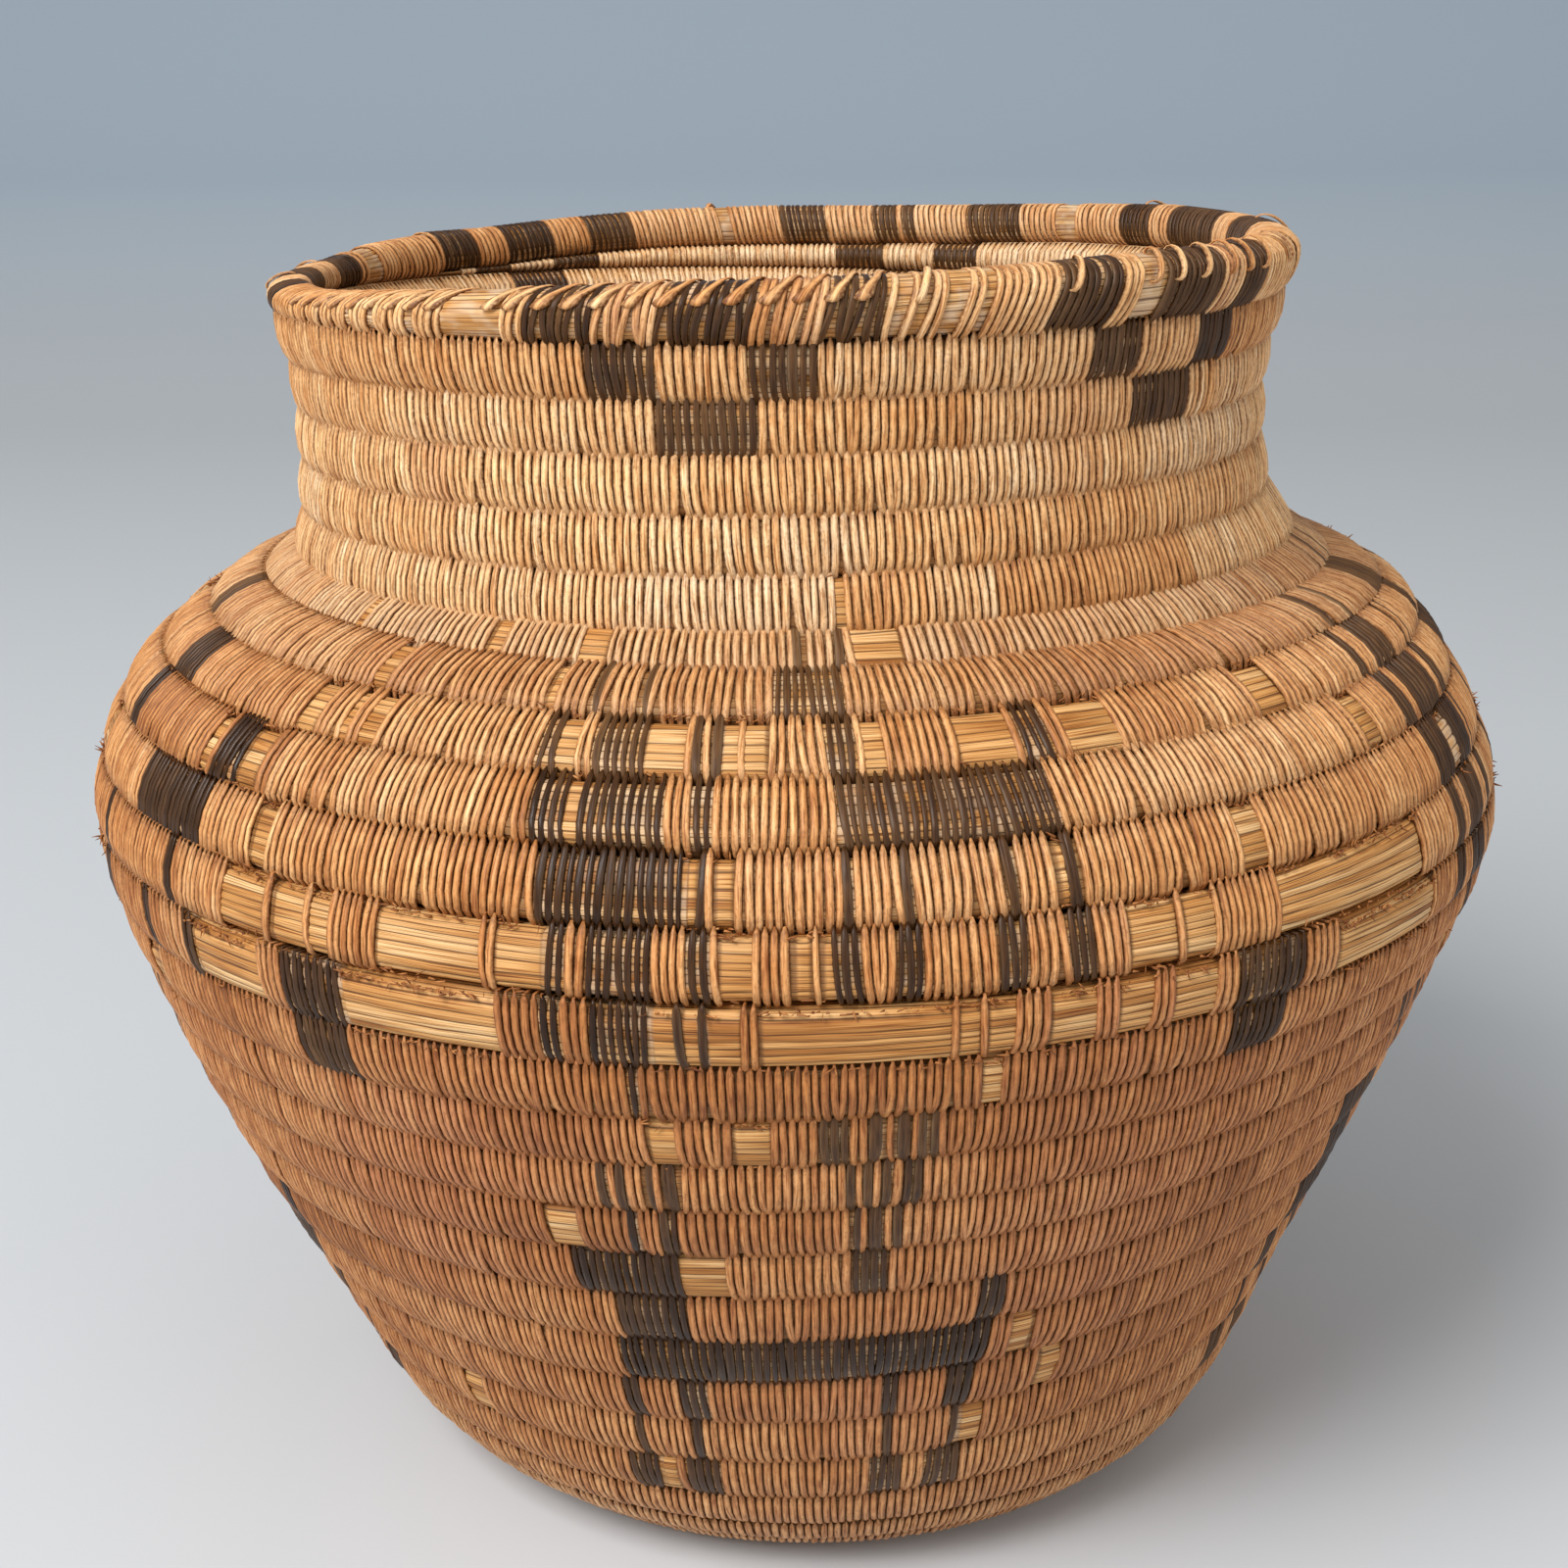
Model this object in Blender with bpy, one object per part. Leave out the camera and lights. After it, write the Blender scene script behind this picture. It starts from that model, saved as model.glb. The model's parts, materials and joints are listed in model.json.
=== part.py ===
"""A coiled olla basket: a thick bundle of stems climbs in a spiral from the base to a ring for a rim.

Metres, +Z up. The origin is on the ground, under the middle of the basket, and the front faces -Y.
Each round of the bundle is a solid of its own, and seats on the round below along the whole spiral.
A place on the spiral is given in turns, counted from the middle of the base. Whole turns begin and
end at the back left, where the spiral thins out under the rim and the rim's ring is joined.
"""

import math

import bmesh
import bpy
import numpy as np

# The basket's outline, measured at the middle of its wall: its radii, and its heights one on another
BASE_RADIUS = 0.081
BELLY_RADIUS = 0.158
NECK_RADIUS = 0.1048
RIM_RADIUS = 0.1125
BELLY_HEIGHT = 0.1645
SHOULDER_LENGTH = 0.054
NECK_FOOT_LENGTH = 0.031
NECK_FLARE_LENGTH = 0.0385

# The bundle: its thickness through the wall, the width of its seats and the gap between two seats
COIL_THICKNESS = 0.011
SEAT_WIDTH = 0.007
SEAT_GAP = 0.0003
# The rim is rounded, so its top is narrower than a seat
RIM_TOP_WIDTH = 0.004
# How deep the undersides of the base's rounds are worn flat
GROUND_WEAR = 0.0005
# Where the spiral starts, and the rounding of the knot that fills its middle
START_RADIUS = 0.004
KNOT_ROUNDING = 0.0015

# Hand-made unevenness: how far the mouth and the base lie to the right of the belly's centre, how
# much the lower wall's rounds rise to the right, and how far the right shoulder swells, how high
# above the belly and how far up and down
MOUTH_SHIFT = -0.0039
BASE_SHIFT = 0.0035
LOWER_WALL_RISE = 0.0061
SHOULDER_SWELL = 0.0095
SWELL_RISE = 0.0485
SWELL_REACH = 0.013

# The rounds in each part of the basket, from the middle of the base, and each part's colour
PARTS = [
    ("base_coil", 10, (0.34, 0.16, 0.06)),
    ("lower_wall_coil", 11, (0.40, 0.19, 0.07)),
    ("belly_coil", 4, (0.58, 0.34, 0.14)),
    ("shoulder_coil", 4, (0.50, 0.34, 0.19)),
    ("neck_coil", 5, (0.62, 0.38, 0.16)),
    ("rim_coil", 1, (0.52, 0.31, 0.13)),
]
TURNS = sum(count for _, count, _ in PARTS)
# Where whole turns begin, in degrees from +X, and the stations round each turn
START_ANGLE = 145.0
STATIONS = 32
# How many turns past the last whole one the spiral would take to the rim's highest place
RIM_RISE_TURNS = 0.55

# The wall from the base's edge to the belly: shares of the way out and of the way up
LOWER_WALL_SHARES = [(0.23, 0.07), (0.50, 0.34), (0.71, 0.57), (0.87, 0.77)]
# The wall from the belly to the neck's foot: shares of the way in and of the way up
SHOULDER_SHARES = [(0.17, 0.43), (0.37, 0.61), (0.66, 0.79), (0.86, 0.87)]
# The neck's foot and top stand out from the neck by shares of the rim's flare
NECK_FOOT_FLARE_SHARE = 0.50
NECK_TOP_FLARE_SHARE = 0.15
NECK_TOP_HEIGHT_SHARE = 0.35

# Height of the bundle beside its mean, at turns counted from the middle of the base
COIL_HEIGHT_SHARES = [
    (0.0, 0.82),
    (8.3, 0.77),
    (10.8, 0.80),
    (13.3, 1.25),
    (16.3, 1.26),
    (19.3, 1.05),
    (23.8, 1.04),
    (25.8, 1.16),
    (27.8, 1.17),
    (29.3, 1.01),
    (32.3, 1.01),
    (34.3, 0.94),
    (36.0, 1.12),
]
# Height of the spiral's last round beside a full one, along its turn: it thins out under the rim
SPIRAL_END_SHARES = [
    (0.0, 1.0),
    (0.67, 1.0),
    (0.72, 0.90),
    (0.77, 0.71),
    (0.81, 0.60),
    (0.89, 0.48),
    (0.93, 0.34),
    (0.97, 0.13),
    (1.0, 0.08),
]
# Height of the rim's ring beside a full round, along its turn
RIM_COIL_SHARES = [
    (0.0, 0.97),
    (0.03, 0.86),
    (0.06, 0.66),
    (0.10, 0.57),
    (0.18, 0.50),
    (0.24, 0.69),
    (0.31, 0.90),
    (0.45, 1.06),
    (0.55, 0.97),
    (0.67, 0.92),
    (0.72, 0.86),
    (0.85, 0.91),
    (0.93, 0.85),
    (1.0, 0.90),
]

# Steps along the outline between two of its named places
OUTLINE_STEPS = 24
# How far up the outer face and the inner face of a round their middle points lie
OUTER_FACE_SHARES = [0.33, 0.67]
INNER_FACE_SHARES = [0.5]


def clear_scene():
    for obj in list(bpy.data.objects):
        bpy.data.objects.remove(obj, do_unlink=True)


BASE_LEVEL = COIL_THICKNESS / 2 - GROUND_WEAR
NECK_FOOT_HEIGHT = BELLY_HEIGHT + SHOULDER_LENGTH
NECK_HEIGHT = NECK_FOOT_HEIGHT + NECK_FOOT_LENGTH
RIM_HEIGHT = NECK_HEIGHT + NECK_FLARE_LENGTH
SWELL_HEIGHT = BELLY_HEIGHT + SWELL_RISE


def outline_places():
    """The wall's named places, from the middle of the base to the rim, as radius and height."""
    flare = RIM_RADIUS - NECK_RADIUS
    neck_foot = NECK_RADIUS + NECK_FOOT_FLARE_SHARE * flare
    places = [(START_RADIUS, BASE_LEVEL), (BASE_RADIUS / 2, BASE_LEVEL), (BASE_RADIUS, BASE_LEVEL)]
    for out, up in LOWER_WALL_SHARES:
        radius = BASE_RADIUS + out * (BELLY_RADIUS - BASE_RADIUS)
        places.append((radius, BASE_LEVEL + up * (BELLY_HEIGHT - BASE_LEVEL)))
    places.append((BELLY_RADIUS, BELLY_HEIGHT))
    for inward, up in SHOULDER_SHARES:
        radius = BELLY_RADIUS + inward * (neck_foot - BELLY_RADIUS)
        places.append((radius, BELLY_HEIGHT + up * SHOULDER_LENGTH))
    places.append((neck_foot, NECK_FOOT_HEIGHT))
    places.append((NECK_RADIUS, NECK_HEIGHT))
    neck_top = NECK_HEIGHT + NECK_TOP_HEIGHT_SHARE * NECK_FLARE_LENGTH
    places.append((NECK_RADIUS + NECK_TOP_FLARE_SHARE * flare, neck_top))
    places.append((RIM_RADIUS, RIM_HEIGHT))
    return np.array(places)


def smooth_outline(places):
    """One smooth curve through the places: a Catmull-Rom spline spaced by the root of each chord."""
    ends = np.vstack([2 * places[0] - places[1], places, 2 * places[-1] - places[-2]])
    points = []
    for a, b, c, d in zip(ends, ends[1:], ends[2:], ends[3:]):
        ta = 0.0
        tb = ta + math.sqrt(math.dist(a, b))
        tc = tb + math.sqrt(math.dist(b, c))
        td = tc + math.sqrt(math.dist(c, d))
        for t in np.linspace(tb, tc, OUTLINE_STEPS, endpoint=False):
            ab = ((tb - t) * a + (t - ta) * b) / (tb - ta)
            bc = ((tc - t) * b + (t - tb) * c) / (tc - tb)
            cd = ((td - t) * c + (t - tc) * d) / (td - tc)
            abc = ((tc - t) * ab + (t - ta) * bc) / (tc - ta)
            bcd = ((td - t) * bc + (t - tb) * cd) / (td - tb)
            points.append(((tc - t) * abc + (t - tb) * bcd) / (tc - tb))
    points.append(places[-1])
    return np.array(points)


OUTLINE = smooth_outline(outline_places())
OUTLINE_LENGTHS = np.append(0.0, np.cumsum(np.linalg.norm(np.diff(OUTLINE, axis=0), axis=1)))


def turn_lengths():
    """How far along the outline each turn lies, from the heights of the bundle."""
    turns = np.linspace(0.0, TURNS + RIM_RISE_TURNS, OUTLINE_STEPS * TURNS)
    heights = np.interp(turns, *zip(*COIL_HEIGHT_SHARES))
    lengths = np.append(0.0, np.cumsum((heights[1:] + heights[:-1]) / 2))
    return turns, lengths * OUTLINE_LENGTHS[-1] / lengths[-1]


TURN_TABLE, LENGTH_TABLE = turn_lengths()


def wall_point(turn, shift=0.0):
    """The middle of the wall at a turn, moved along the outline by shift, and the way out of it."""
    length = np.interp(turn, TURN_TABLE, LENGTH_TABLE) + shift
    step = COIL_THICKNESS / 8
    low, high = max(length - step, 0.0), min(length + step, OUTLINE_LENGTHS[-1])
    middle, before, after = (
        np.array([np.interp(at, OUTLINE_LENGTHS, OUTLINE[:, axis]) for axis in (0, 1)])
        for at in (length, low, high)
    )
    along = (after - before) / np.linalg.norm(after - before)
    return middle, np.array([along[1], -along[0]])


def handmade(x, y, z):
    """Moves a place of the even basket to where the hand-made one has it."""
    above = min(max((z - BELLY_HEIGHT) / (RIM_HEIGHT - BELLY_HEIGHT), 0.0), 1.0)
    below = min(max((BELLY_HEIGHT - z) / BELLY_HEIGHT, 0.0), 1.0)
    down = min(max((BELLY_HEIGHT - z) / (BELLY_HEIGHT - COIL_THICKNESS), 0.0), 1.0)
    radius = math.hypot(x, y)
    to_right = max(x / radius, 0.0) if radius else 0.0
    swell = SHOULDER_SWELL * to_right**4 * math.exp(-(((z - SWELL_HEIGHT) / SWELL_REACH) ** 2))
    rise = LOWER_WALL_RISE * 4 * down * (1 - down) * x / BELLY_RADIUS
    shift = MOUTH_SHIFT * above**2 * (3 - 2 * above) + BASE_SHIFT * below
    return x + shift + swell, y, z + rise


def round_height(turn):
    """The height of a full round at a turn: how far along the outline the next round lies."""
    turn = min(turn, TURNS - 1 + RIM_RISE_TURNS)
    low, high = np.interp((turn, turn + 1), TURN_TABLE, LENGTH_TABLE)
    return high - low


def height_share(turn):
    """Height of a round at a turn beside a full one."""
    if turn < TURNS - 2:
        return 1.0
    shares = SPIRAL_END_SHARES if turn < TURNS - 1 else RIM_COIL_SHARES
    return float(np.interp(turn % 1, *zip(*shares)))


def seat_drop(turn):
    """How far below its even place a round sits: the rim sinks where the round under it thins."""
    if turn < TURNS - 1:
        return 0.0
    return round_height(turn - 1) * (1 - height_share(turn - 1))


def full_face(start, end, shares, bulge):
    """A face of a round from one seat to the other, swelling by bulge in its middle."""
    along = (end - start) / np.linalg.norm(end - start)
    out = np.array([along[1], -along[0]])
    middle = [start + share * (end - start) + 4 * share * (1 - share) * bulge * out for share in shares]
    return [start, *middle, end]


def section(turn, top_width):
    """The outline of a round's section at a turn, as radius and height: two seats and two full faces.

    It is cut flat at the ground, so that the base's rounds stand on their undersides."""
    drop, share = seat_drop(turn), height_share(turn)
    low, low_out = wall_point(turn, SEAT_GAP / 2 - drop)
    high, high_out = wall_point(turn, round_height(turn) * share - SEAT_GAP / 2 - drop)
    low_out *= SEAT_WIDTH / 2
    high_out *= top_width / 2
    bulge = (COIL_THICKNESS - SEAT_WIDTH) / 2 * min(share, 1.0)
    outer = full_face(low + low_out, high + high_out, OUTER_FACE_SHARES, bulge)
    inner = full_face(high - high_out, low - low_out, INNER_FACE_SHARES, bulge)
    return [(radius, max(height, 0.0)) for radius, height in outer + inner]


def round_of_bundle(name, first_turn, top_width):
    """One round: its section carried along the spiral for one turn, closed by a flat face at each end."""
    radius = wall_point(first_turn + 0.5)[0][0]
    end_gap = SEAT_GAP / 2 / (2 * math.pi * radius)
    mesh = bmesh.new()
    rings = []
    for share in np.linspace(end_gap, 1 - end_gap, STATIONS + 1):
        turn = first_turn + share
        angle = math.radians(START_ANGLE) + 2 * math.pi * turn
        ring = []
        for radius, height in section(turn, top_width):
            place = handmade(radius * math.cos(angle), radius * math.sin(angle), height)
            ring.append(mesh.verts.new(place))
        rings.append(ring)
    for one, other in zip(rings, rings[1:]):
        for i in range(len(one)):
            mesh.faces.new((one[i - 1], one[i], other[i], other[i - 1]))
    mesh.faces.new(rings[0])
    mesh.faces.new(reversed(rings[-1]))
    bmesh.ops.recalc_face_normals(mesh, faces=mesh.faces)
    data = bpy.data.meshes.new(name)
    mesh.to_mesh(data)
    mesh.free()
    data.shade_smooth()
    data.set_sharp_from_angle(angle=math.radians(50))
    return bpy.data.objects.new(name, data)


def start_knot(name):
    """The knot in the middle of the base: a flat snail that fills the spiral's first turn."""
    outline = bpy.data.curves.new(name, "CURVE")
    outline.dimensions = "2D"
    outline.fill_mode = "BOTH"
    outline.extrude = BASE_LEVEL - KNOT_ROUNDING
    outline.bevel_depth = KNOT_ROUNDING
    outline.bevel_resolution = 1
    outline.offset = -KNOT_ROUNDING - SEAT_GAP
    spline = outline.splines.new("POLY")
    spline.use_cyclic_u = True
    spline.points.add(STATIONS)
    for point, share in zip(spline.points, np.linspace(0.0, 1.0, STATIONS + 1)):
        radius = wall_point(share)[0][0]
        angle = math.radians(START_ANGLE) + 2 * math.pi * share
        point.co = (radius * math.cos(angle), radius * math.sin(angle), 0.0, 1.0)
    knot = bpy.data.objects.new(name, outline)
    knot.location = (BASE_SHIFT, 0.0, BASE_LEVEL)
    return knot


def stitched_coil(name, colour):
    """Stems sewn over with splints: matt plant fibre with a faint sheen."""
    material = bpy.data.materials.new(name)
    material.use_nodes = True
    shader = material.node_tree.nodes["Principled BSDF"]
    shader.inputs["Base Color"].default_value = (*colour, 1.0)
    shader.inputs["Roughness"].default_value = 0.62
    shader.inputs["Metallic"].default_value = 0.0
    return material


def build():
    clear_scene()
    basket = bpy.data.collections.new("olla_basket")
    bpy.context.scene.collection.children.link(basket)
    knot = start_knot("start_knot")
    knot.data.materials.append(stitched_coil("start_knot", PARTS[0][2]))
    basket.objects.link(knot)
    turn = 0
    for part, count, colour in PARTS:
        for number in range(1, count + 1):
            name = part if count == 1 else f"{part}_{number:02d}"
            top_width = RIM_TOP_WIDTH if part == "rim_coil" else SEAT_WIDTH
            coil = round_of_bundle(name, turn, top_width)
            coil.data.materials.append(stitched_coil(name, colour))
            basket.objects.link(coil)
            turn += 1


build()
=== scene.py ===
"""The coiled olla basket, dressed: a bundle of split stems sewn over with willow and devil's claw.

Metres, +Z up, the front at -Y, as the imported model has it. A place on the basket is given in turns
along the spiral, counted from the middle of the base. A place on a round is given by how far it lies
up the wall and out of it from the middle of the round's section. The pattern and the wear are given
by row, counted from the rim down, and by degrees round the basket, counted to the right of its front.
"""

import json
import math

import bpy
import numpy as np
from mathutils import Matrix, Vector

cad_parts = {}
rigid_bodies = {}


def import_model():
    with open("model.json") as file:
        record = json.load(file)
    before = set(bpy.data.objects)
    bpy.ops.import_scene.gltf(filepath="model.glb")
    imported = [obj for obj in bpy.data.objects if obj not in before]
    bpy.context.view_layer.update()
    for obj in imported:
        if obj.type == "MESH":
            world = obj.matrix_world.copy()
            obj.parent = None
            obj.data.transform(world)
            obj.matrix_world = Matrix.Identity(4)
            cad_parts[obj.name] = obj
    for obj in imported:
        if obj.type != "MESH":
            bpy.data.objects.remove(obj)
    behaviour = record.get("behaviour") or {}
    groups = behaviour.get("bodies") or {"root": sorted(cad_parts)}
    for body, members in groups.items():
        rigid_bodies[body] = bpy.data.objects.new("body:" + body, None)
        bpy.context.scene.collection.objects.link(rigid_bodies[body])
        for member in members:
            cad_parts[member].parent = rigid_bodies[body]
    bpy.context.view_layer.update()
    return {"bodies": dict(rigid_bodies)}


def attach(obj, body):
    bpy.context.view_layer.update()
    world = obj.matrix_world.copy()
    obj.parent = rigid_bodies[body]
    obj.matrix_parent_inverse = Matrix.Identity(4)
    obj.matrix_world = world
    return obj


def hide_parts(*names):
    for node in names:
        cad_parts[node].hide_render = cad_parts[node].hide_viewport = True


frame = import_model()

MM = 0.001

# The basket's outline at the middle of its wall, and its bundle, as the solids have them
BASE_RADIUS = 0.081
BELLY_RADIUS = 0.158
NECK_RADIUS = 0.1048
RIM_RADIUS = 0.1125
BELLY_HEIGHT = 0.1645
SHOULDER_LENGTH = 0.054
NECK_FOOT_LENGTH = 0.031
NECK_FLARE_LENGTH = 0.0385
COIL_THICKNESS = 0.011
SEAT_WIDTH = 0.007
GROUND_WEAR = 0.0005
START_RADIUS = 0.004
MOUTH_SHIFT = -0.0039
BASE_SHIFT = 0.0035
LOWER_WALL_RISE = 0.0061
SHOULDER_SWELL = 0.0095
SWELL_RISE = 0.0485
SWELL_REACH = 0.013
LOWER_WALL_SHARES = [(0.23, 0.07), (0.50, 0.34), (0.71, 0.57), (0.87, 0.77)]
SHOULDER_SHARES = [(0.17, 0.43), (0.37, 0.61), (0.66, 0.79), (0.86, 0.87)]
NECK_FOOT_FLARE_SHARE = 0.50
NECK_TOP_FLARE_SHARE = 0.15
NECK_TOP_HEIGHT_SHARE = 0.35
PARTS = [
    ("base_coil", 10, "base_stitching"),
    ("lower_wall_coil", 11, "lower_wall_stitching"),
    ("belly_coil", 4, "belly_stitching"),
    ("shoulder_coil", 4, "belly_stitching"),
    ("neck_coil", 5, "neck_stitching"),
    ("rim_coil", 1, "rim_stitching"),
]
TURNS = sum(count for _, count, _ in PARTS)
START_ANGLE = 145.0
RIM_RISE_TURNS = 0.55
COIL_HEIGHT_SHARES = [
    (0.0, 0.82), (8.3, 0.77), (10.8, 0.80), (13.3, 1.25), (16.3, 1.26), (19.3, 1.05), (23.8, 1.04),
    (25.8, 1.16), (27.8, 1.17), (29.3, 1.01), (32.3, 1.01), (34.3, 0.94), (36.0, 1.12),
]
SPIRAL_END_SHARES = [
    (0.0, 1.0), (0.67, 1.0), (0.72, 0.90), (0.77, 0.71), (0.81, 0.60), (0.89, 0.48), (0.93, 0.34),
    (0.97, 0.13), (1.0, 0.08),
]
RIM_COIL_SHARES = [
    (0.0, 0.97), (0.03, 0.86), (0.06, 0.66), (0.10, 0.57), (0.18, 0.50), (0.24, 0.69), (0.31, 0.90),
    (0.45, 1.06), (0.55, 0.97), (0.67, 0.92), (0.72, 0.86), (0.85, 0.91), (0.93, 0.85), (1.0, 0.90),
]
OUTLINE_STEPS = 24

BASE_LEVEL = COIL_THICKNESS / 2 - GROUND_WEAR
NECK_FOOT_HEIGHT = BELLY_HEIGHT + SHOULDER_LENGTH
NECK_HEIGHT = NECK_FOOT_HEIGHT + NECK_FOOT_LENGTH
RIM_HEIGHT = NECK_HEIGHT + NECK_FLARE_LENGTH
SWELL_HEIGHT = BELLY_HEIGHT + SWELL_RISE

# The splints: how far apart they are sewn and how uneven that is, how wide and how thick they are
STITCH_PITCH = 1.68 * MM
PITCH_SPREAD = 0.11
SPLINT_WIDTH = 1.60 * MM
SPLINT_THICKNESS = 0.58 * MM
# The stems of the bundle: their width, and how far the bundle lies under the splints' crowns
STEM_WIDTH = 1.35 * MM
BUNDLE_DEPTH = 0.40 * MM
# How much less deep it lies between the narrower dark splints, and on the rim
PALE_LIFT = 0.2
RIM_LIFT = 0.45
# Up to where the ground wears the splints' undersides flat
WEAR_START = 0.7 * MM
# Past this turn the spiral is too thin to be sewn over
THIN_END = 33.99
# Up to this turn a splint has no round below to be tucked into
UNTUCKED_END = 1.5

# One splint's way round a round: up and out as shares of half the round's height and thickness, its
# width as a share, how far it lies along the spiral in millimetres, and how much of its own lean it
# has there. It comes out of the round below, goes over the outer face to a rounded tip between the
# feet above, and back down the inner face.
SEWN_PATH = np.array([
    (-1.12, 0.50, 0.74, 0.10, -1.1),
    (-0.96, 0.80, 0.98, 0.06, -0.9),
    (-0.50, 0.98, 1.00, 0.00, -0.5),
    (0.10, 1.03, 1.00, -0.04, 0.0),
    (0.68, 0.95, 1.00, -0.04, 0.7),
    (1.05, 0.86, 0.84, 0.00, 1.0),
    (1.24, 0.80, 0.36, 0.06, 1.2),
    (0.92, -0.60, 0.60, 0.30, 0.0),
    (0.36, -0.98, 1.22, 0.40, 0.0),
    (-0.36, -0.98, 1.22, 0.36, 0.0),
    (-0.92, -0.62, 0.70, 0.24, -0.5),
])
# On the rim each splint goes on over the top, at its full width, and leans to the right as it climbs
RIM_PATH = np.array([
    (-1.12, 0.42, 0.60, -0.9, -1.1),
    (-0.92, 0.80, 0.90, -0.8, -0.9),
    (-0.35, 1.03, 1.00, -0.4, -0.4),
    (0.30, 1.03, 1.02, 0.3, 0.3),
    (0.80, 0.78, 1.02, 1.0, 0.8),
    (1.02, 0.12, 1.00, 1.7, 1.1),
    (0.86, -0.66, 1.00, 2.0, 0.9),
    (0.35, -1.02, 1.00, 1.6, 0.4),
    (-0.36, -1.02, 0.98, 0.8, 0.0),
    (-0.92, -0.62, 0.60, 0.0, -0.5),
])
# A lacing splint comes out of the rim's outer face as a rounded head, slants up over the top as it
# narrows, and goes in behind
LACING_PATH = np.array([
    (0.62, 0.62, 0.30, 0.2, 0.0),
    (0.66, 0.96, 0.92, 0.0, 0.0),
    (0.82, 0.90, 1.10, 0.5, 0.2),
    (0.99, 0.66, 0.84, 1.5, 0.5),
    (1.09, 0.34, 0.58, 2.8, 0.8),
    (1.12, -0.04, 0.48, 4.1, 1.0),
    (1.03, -0.50, 0.45, 5.3, 1.0),
    (0.74, -0.86, 0.35, 6.1, 1.0),
    (0.58, -0.52, 0.25, 5.2, 0.8),
    (0.54, 0.20, 0.25, 2.6, 0.4),
])
# A broken lacing splint ends in a stub that curls over the rim's top
STUB_PATH = np.array([
    (0.40, 0.60, 0.35, -0.2, -1.0),
    (0.50, 1.06, 0.75, 0.0, -0.8),
    (0.74, 1.08, 0.95, 0.3, -0.3),
    (1.00, 0.84, 1.00, 0.9, 0.1),
    (1.20, 0.40, 0.95, 1.7, 0.5),
    (1.22, -0.04, 0.75, 2.4, 0.8),
    (1.00, -0.34, 0.45, 2.9, 1.0),
    (0.80, -0.20, 0.30, 2.2, 0.6),
    (0.66, 0.10, 0.25, 1.2, 0.0),
    (0.50, 0.30, 0.25, 0.4, -0.6),
])


def rounded(path):
    """A closed path with a station added between each two, on the cubic curve through four of them."""
    before, after, next_after = (np.roll(path, n, 0) for n in (1, -1, -2))
    between = (9 * (path + after) - before - next_after) / 16
    return np.stack([path, between], 1).reshape(-1, path.shape[1])


RIM_PATH, LACING_PATH, STUB_PATH = (rounded(path) for path in (RIM_PATH, LACING_PATH, STUB_PATH))
# On the inner face the splints lie flatter, are lighter by painted light except on the rim, where painted
# shade darkens them, redder, and have cleaner edges
INNER_FLATNESS = 0.6
INNER_EDGE = 0.82
INNER_PAINTED_LIGHT = 0.26
INNER_RIM_PAINTED_SHADE = -0.06
INNER_RUST = 0.14
# A splint's section: across as shares of its half width, and height as shares of its thickness
SPLINT_SECTION = np.array([(-1.0, -0.50), (-0.76, 0.22), (0.0, 0.50), (0.76, 0.22), (1.0, -0.50)])
# Up to this share of its round's half height a splint is not darkened, and past the reach it is fully
# darkened by dirt and painted seam shade
SEAM_START = 0.62
SEAM_REACH = 0.45

# The bundle's section: the power of its superellipse, what its outer side adds to that, and what it
# loses again where the round is bare. How much of its round's height it fills, how much more where it
# is bare, and the gap that it leaves.
SECTION_POWER = 2.4
OUTER_SQUARENESS = 2.0
BARE_ROUNDING = 0.8
BUNDLE_FILL = 0.99
BARE_FILL = 0.02
BUNDLE_GAP = 0.1 * MM
# How sharp the ridges of its stems are, and how deep the grooves between them go under the splints and
# where the round is bare. Where half the round's height is less than the last value, they shrink with it.
RIDGE_POWER = 0.6
GROOVE_DEPTH = 0.10 * MM
BARE_GROOVE_DEPTH = 0.36 * MM
THIN_HALF = 3 * MM
# How uneven the stems' widths are: waves round the section, each one's size and how far it drifts, and
# how the drift sways and grows along a round
STEM_WAVES = [(2, 2.6, 1.0), (3, 1.7, -1.7), (5, 1.0, 2.3)]
STEM_SWAY = 2.5
STEM_DRIFT = 5
# How pale the bundle is, free of its dirt and painted shade, on its inner side and between dark splints,
# from where it counts as pale, and how rubbed it is on the rim
INNER_PALE = 0.6
DARK_PALE = 0.75
PALE_ENOUGH = 0.7
RIM_RUBBED = 0.6

# The knot: how many wraps it has, how deep the grooves between them go, how sharp its ridges are, how
# far it lies inside the solid's edge and height, how full its side is, how deep and wide its middle is
# hollow, and how light, rusty and dusty it is
KNOT_WRAPS = 28
KNOT_GROOVE = 0.35 * MM
KNOT_RIDGE_POWER = 0.7
KNOT_INSET = 0.2 * MM
KNOT_SINK = 0.8 * MM
KNOT_FULLNESS = 0.55
KNOT_HOLLOW = 0.4
KNOT_HOLLOW_RADIUS = 1.6 * MM
KNOT_LOOK = (0.4, 0.2, 0.4)

# Where each round starts, in degrees to the right of the front
BACK_LEFT = START_ANGLE + 90 - 360
# How far before its end a round's last places lie, and how far beside a run's end it is whole, in turns
TURN_END = 0.0005
RUN_EDGE = 0.0003
# The bake's map: half of the small square that holds a bundle's end, the margins in a bundle's strips
# and in a splint's cell, and how many cells lie across the map for each one that lies down it
CAP_MAP = 0.006
STRIP_MARGIN = 0.04
CELL_MARGIN = 0.07
CELL_SHAPE = 2.6


def tint(code):
    """A colour written as sRGB hex, as the linear values that a shader takes."""
    parts = [int(code[i : i + 2], 16) / 255 for i in (1, 3, 5)]
    return (*(c / 12.92 if c <= 0.04045 else ((c + 0.055) / 1.055) ** 2.4 for c in parts), 1.0)


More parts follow.
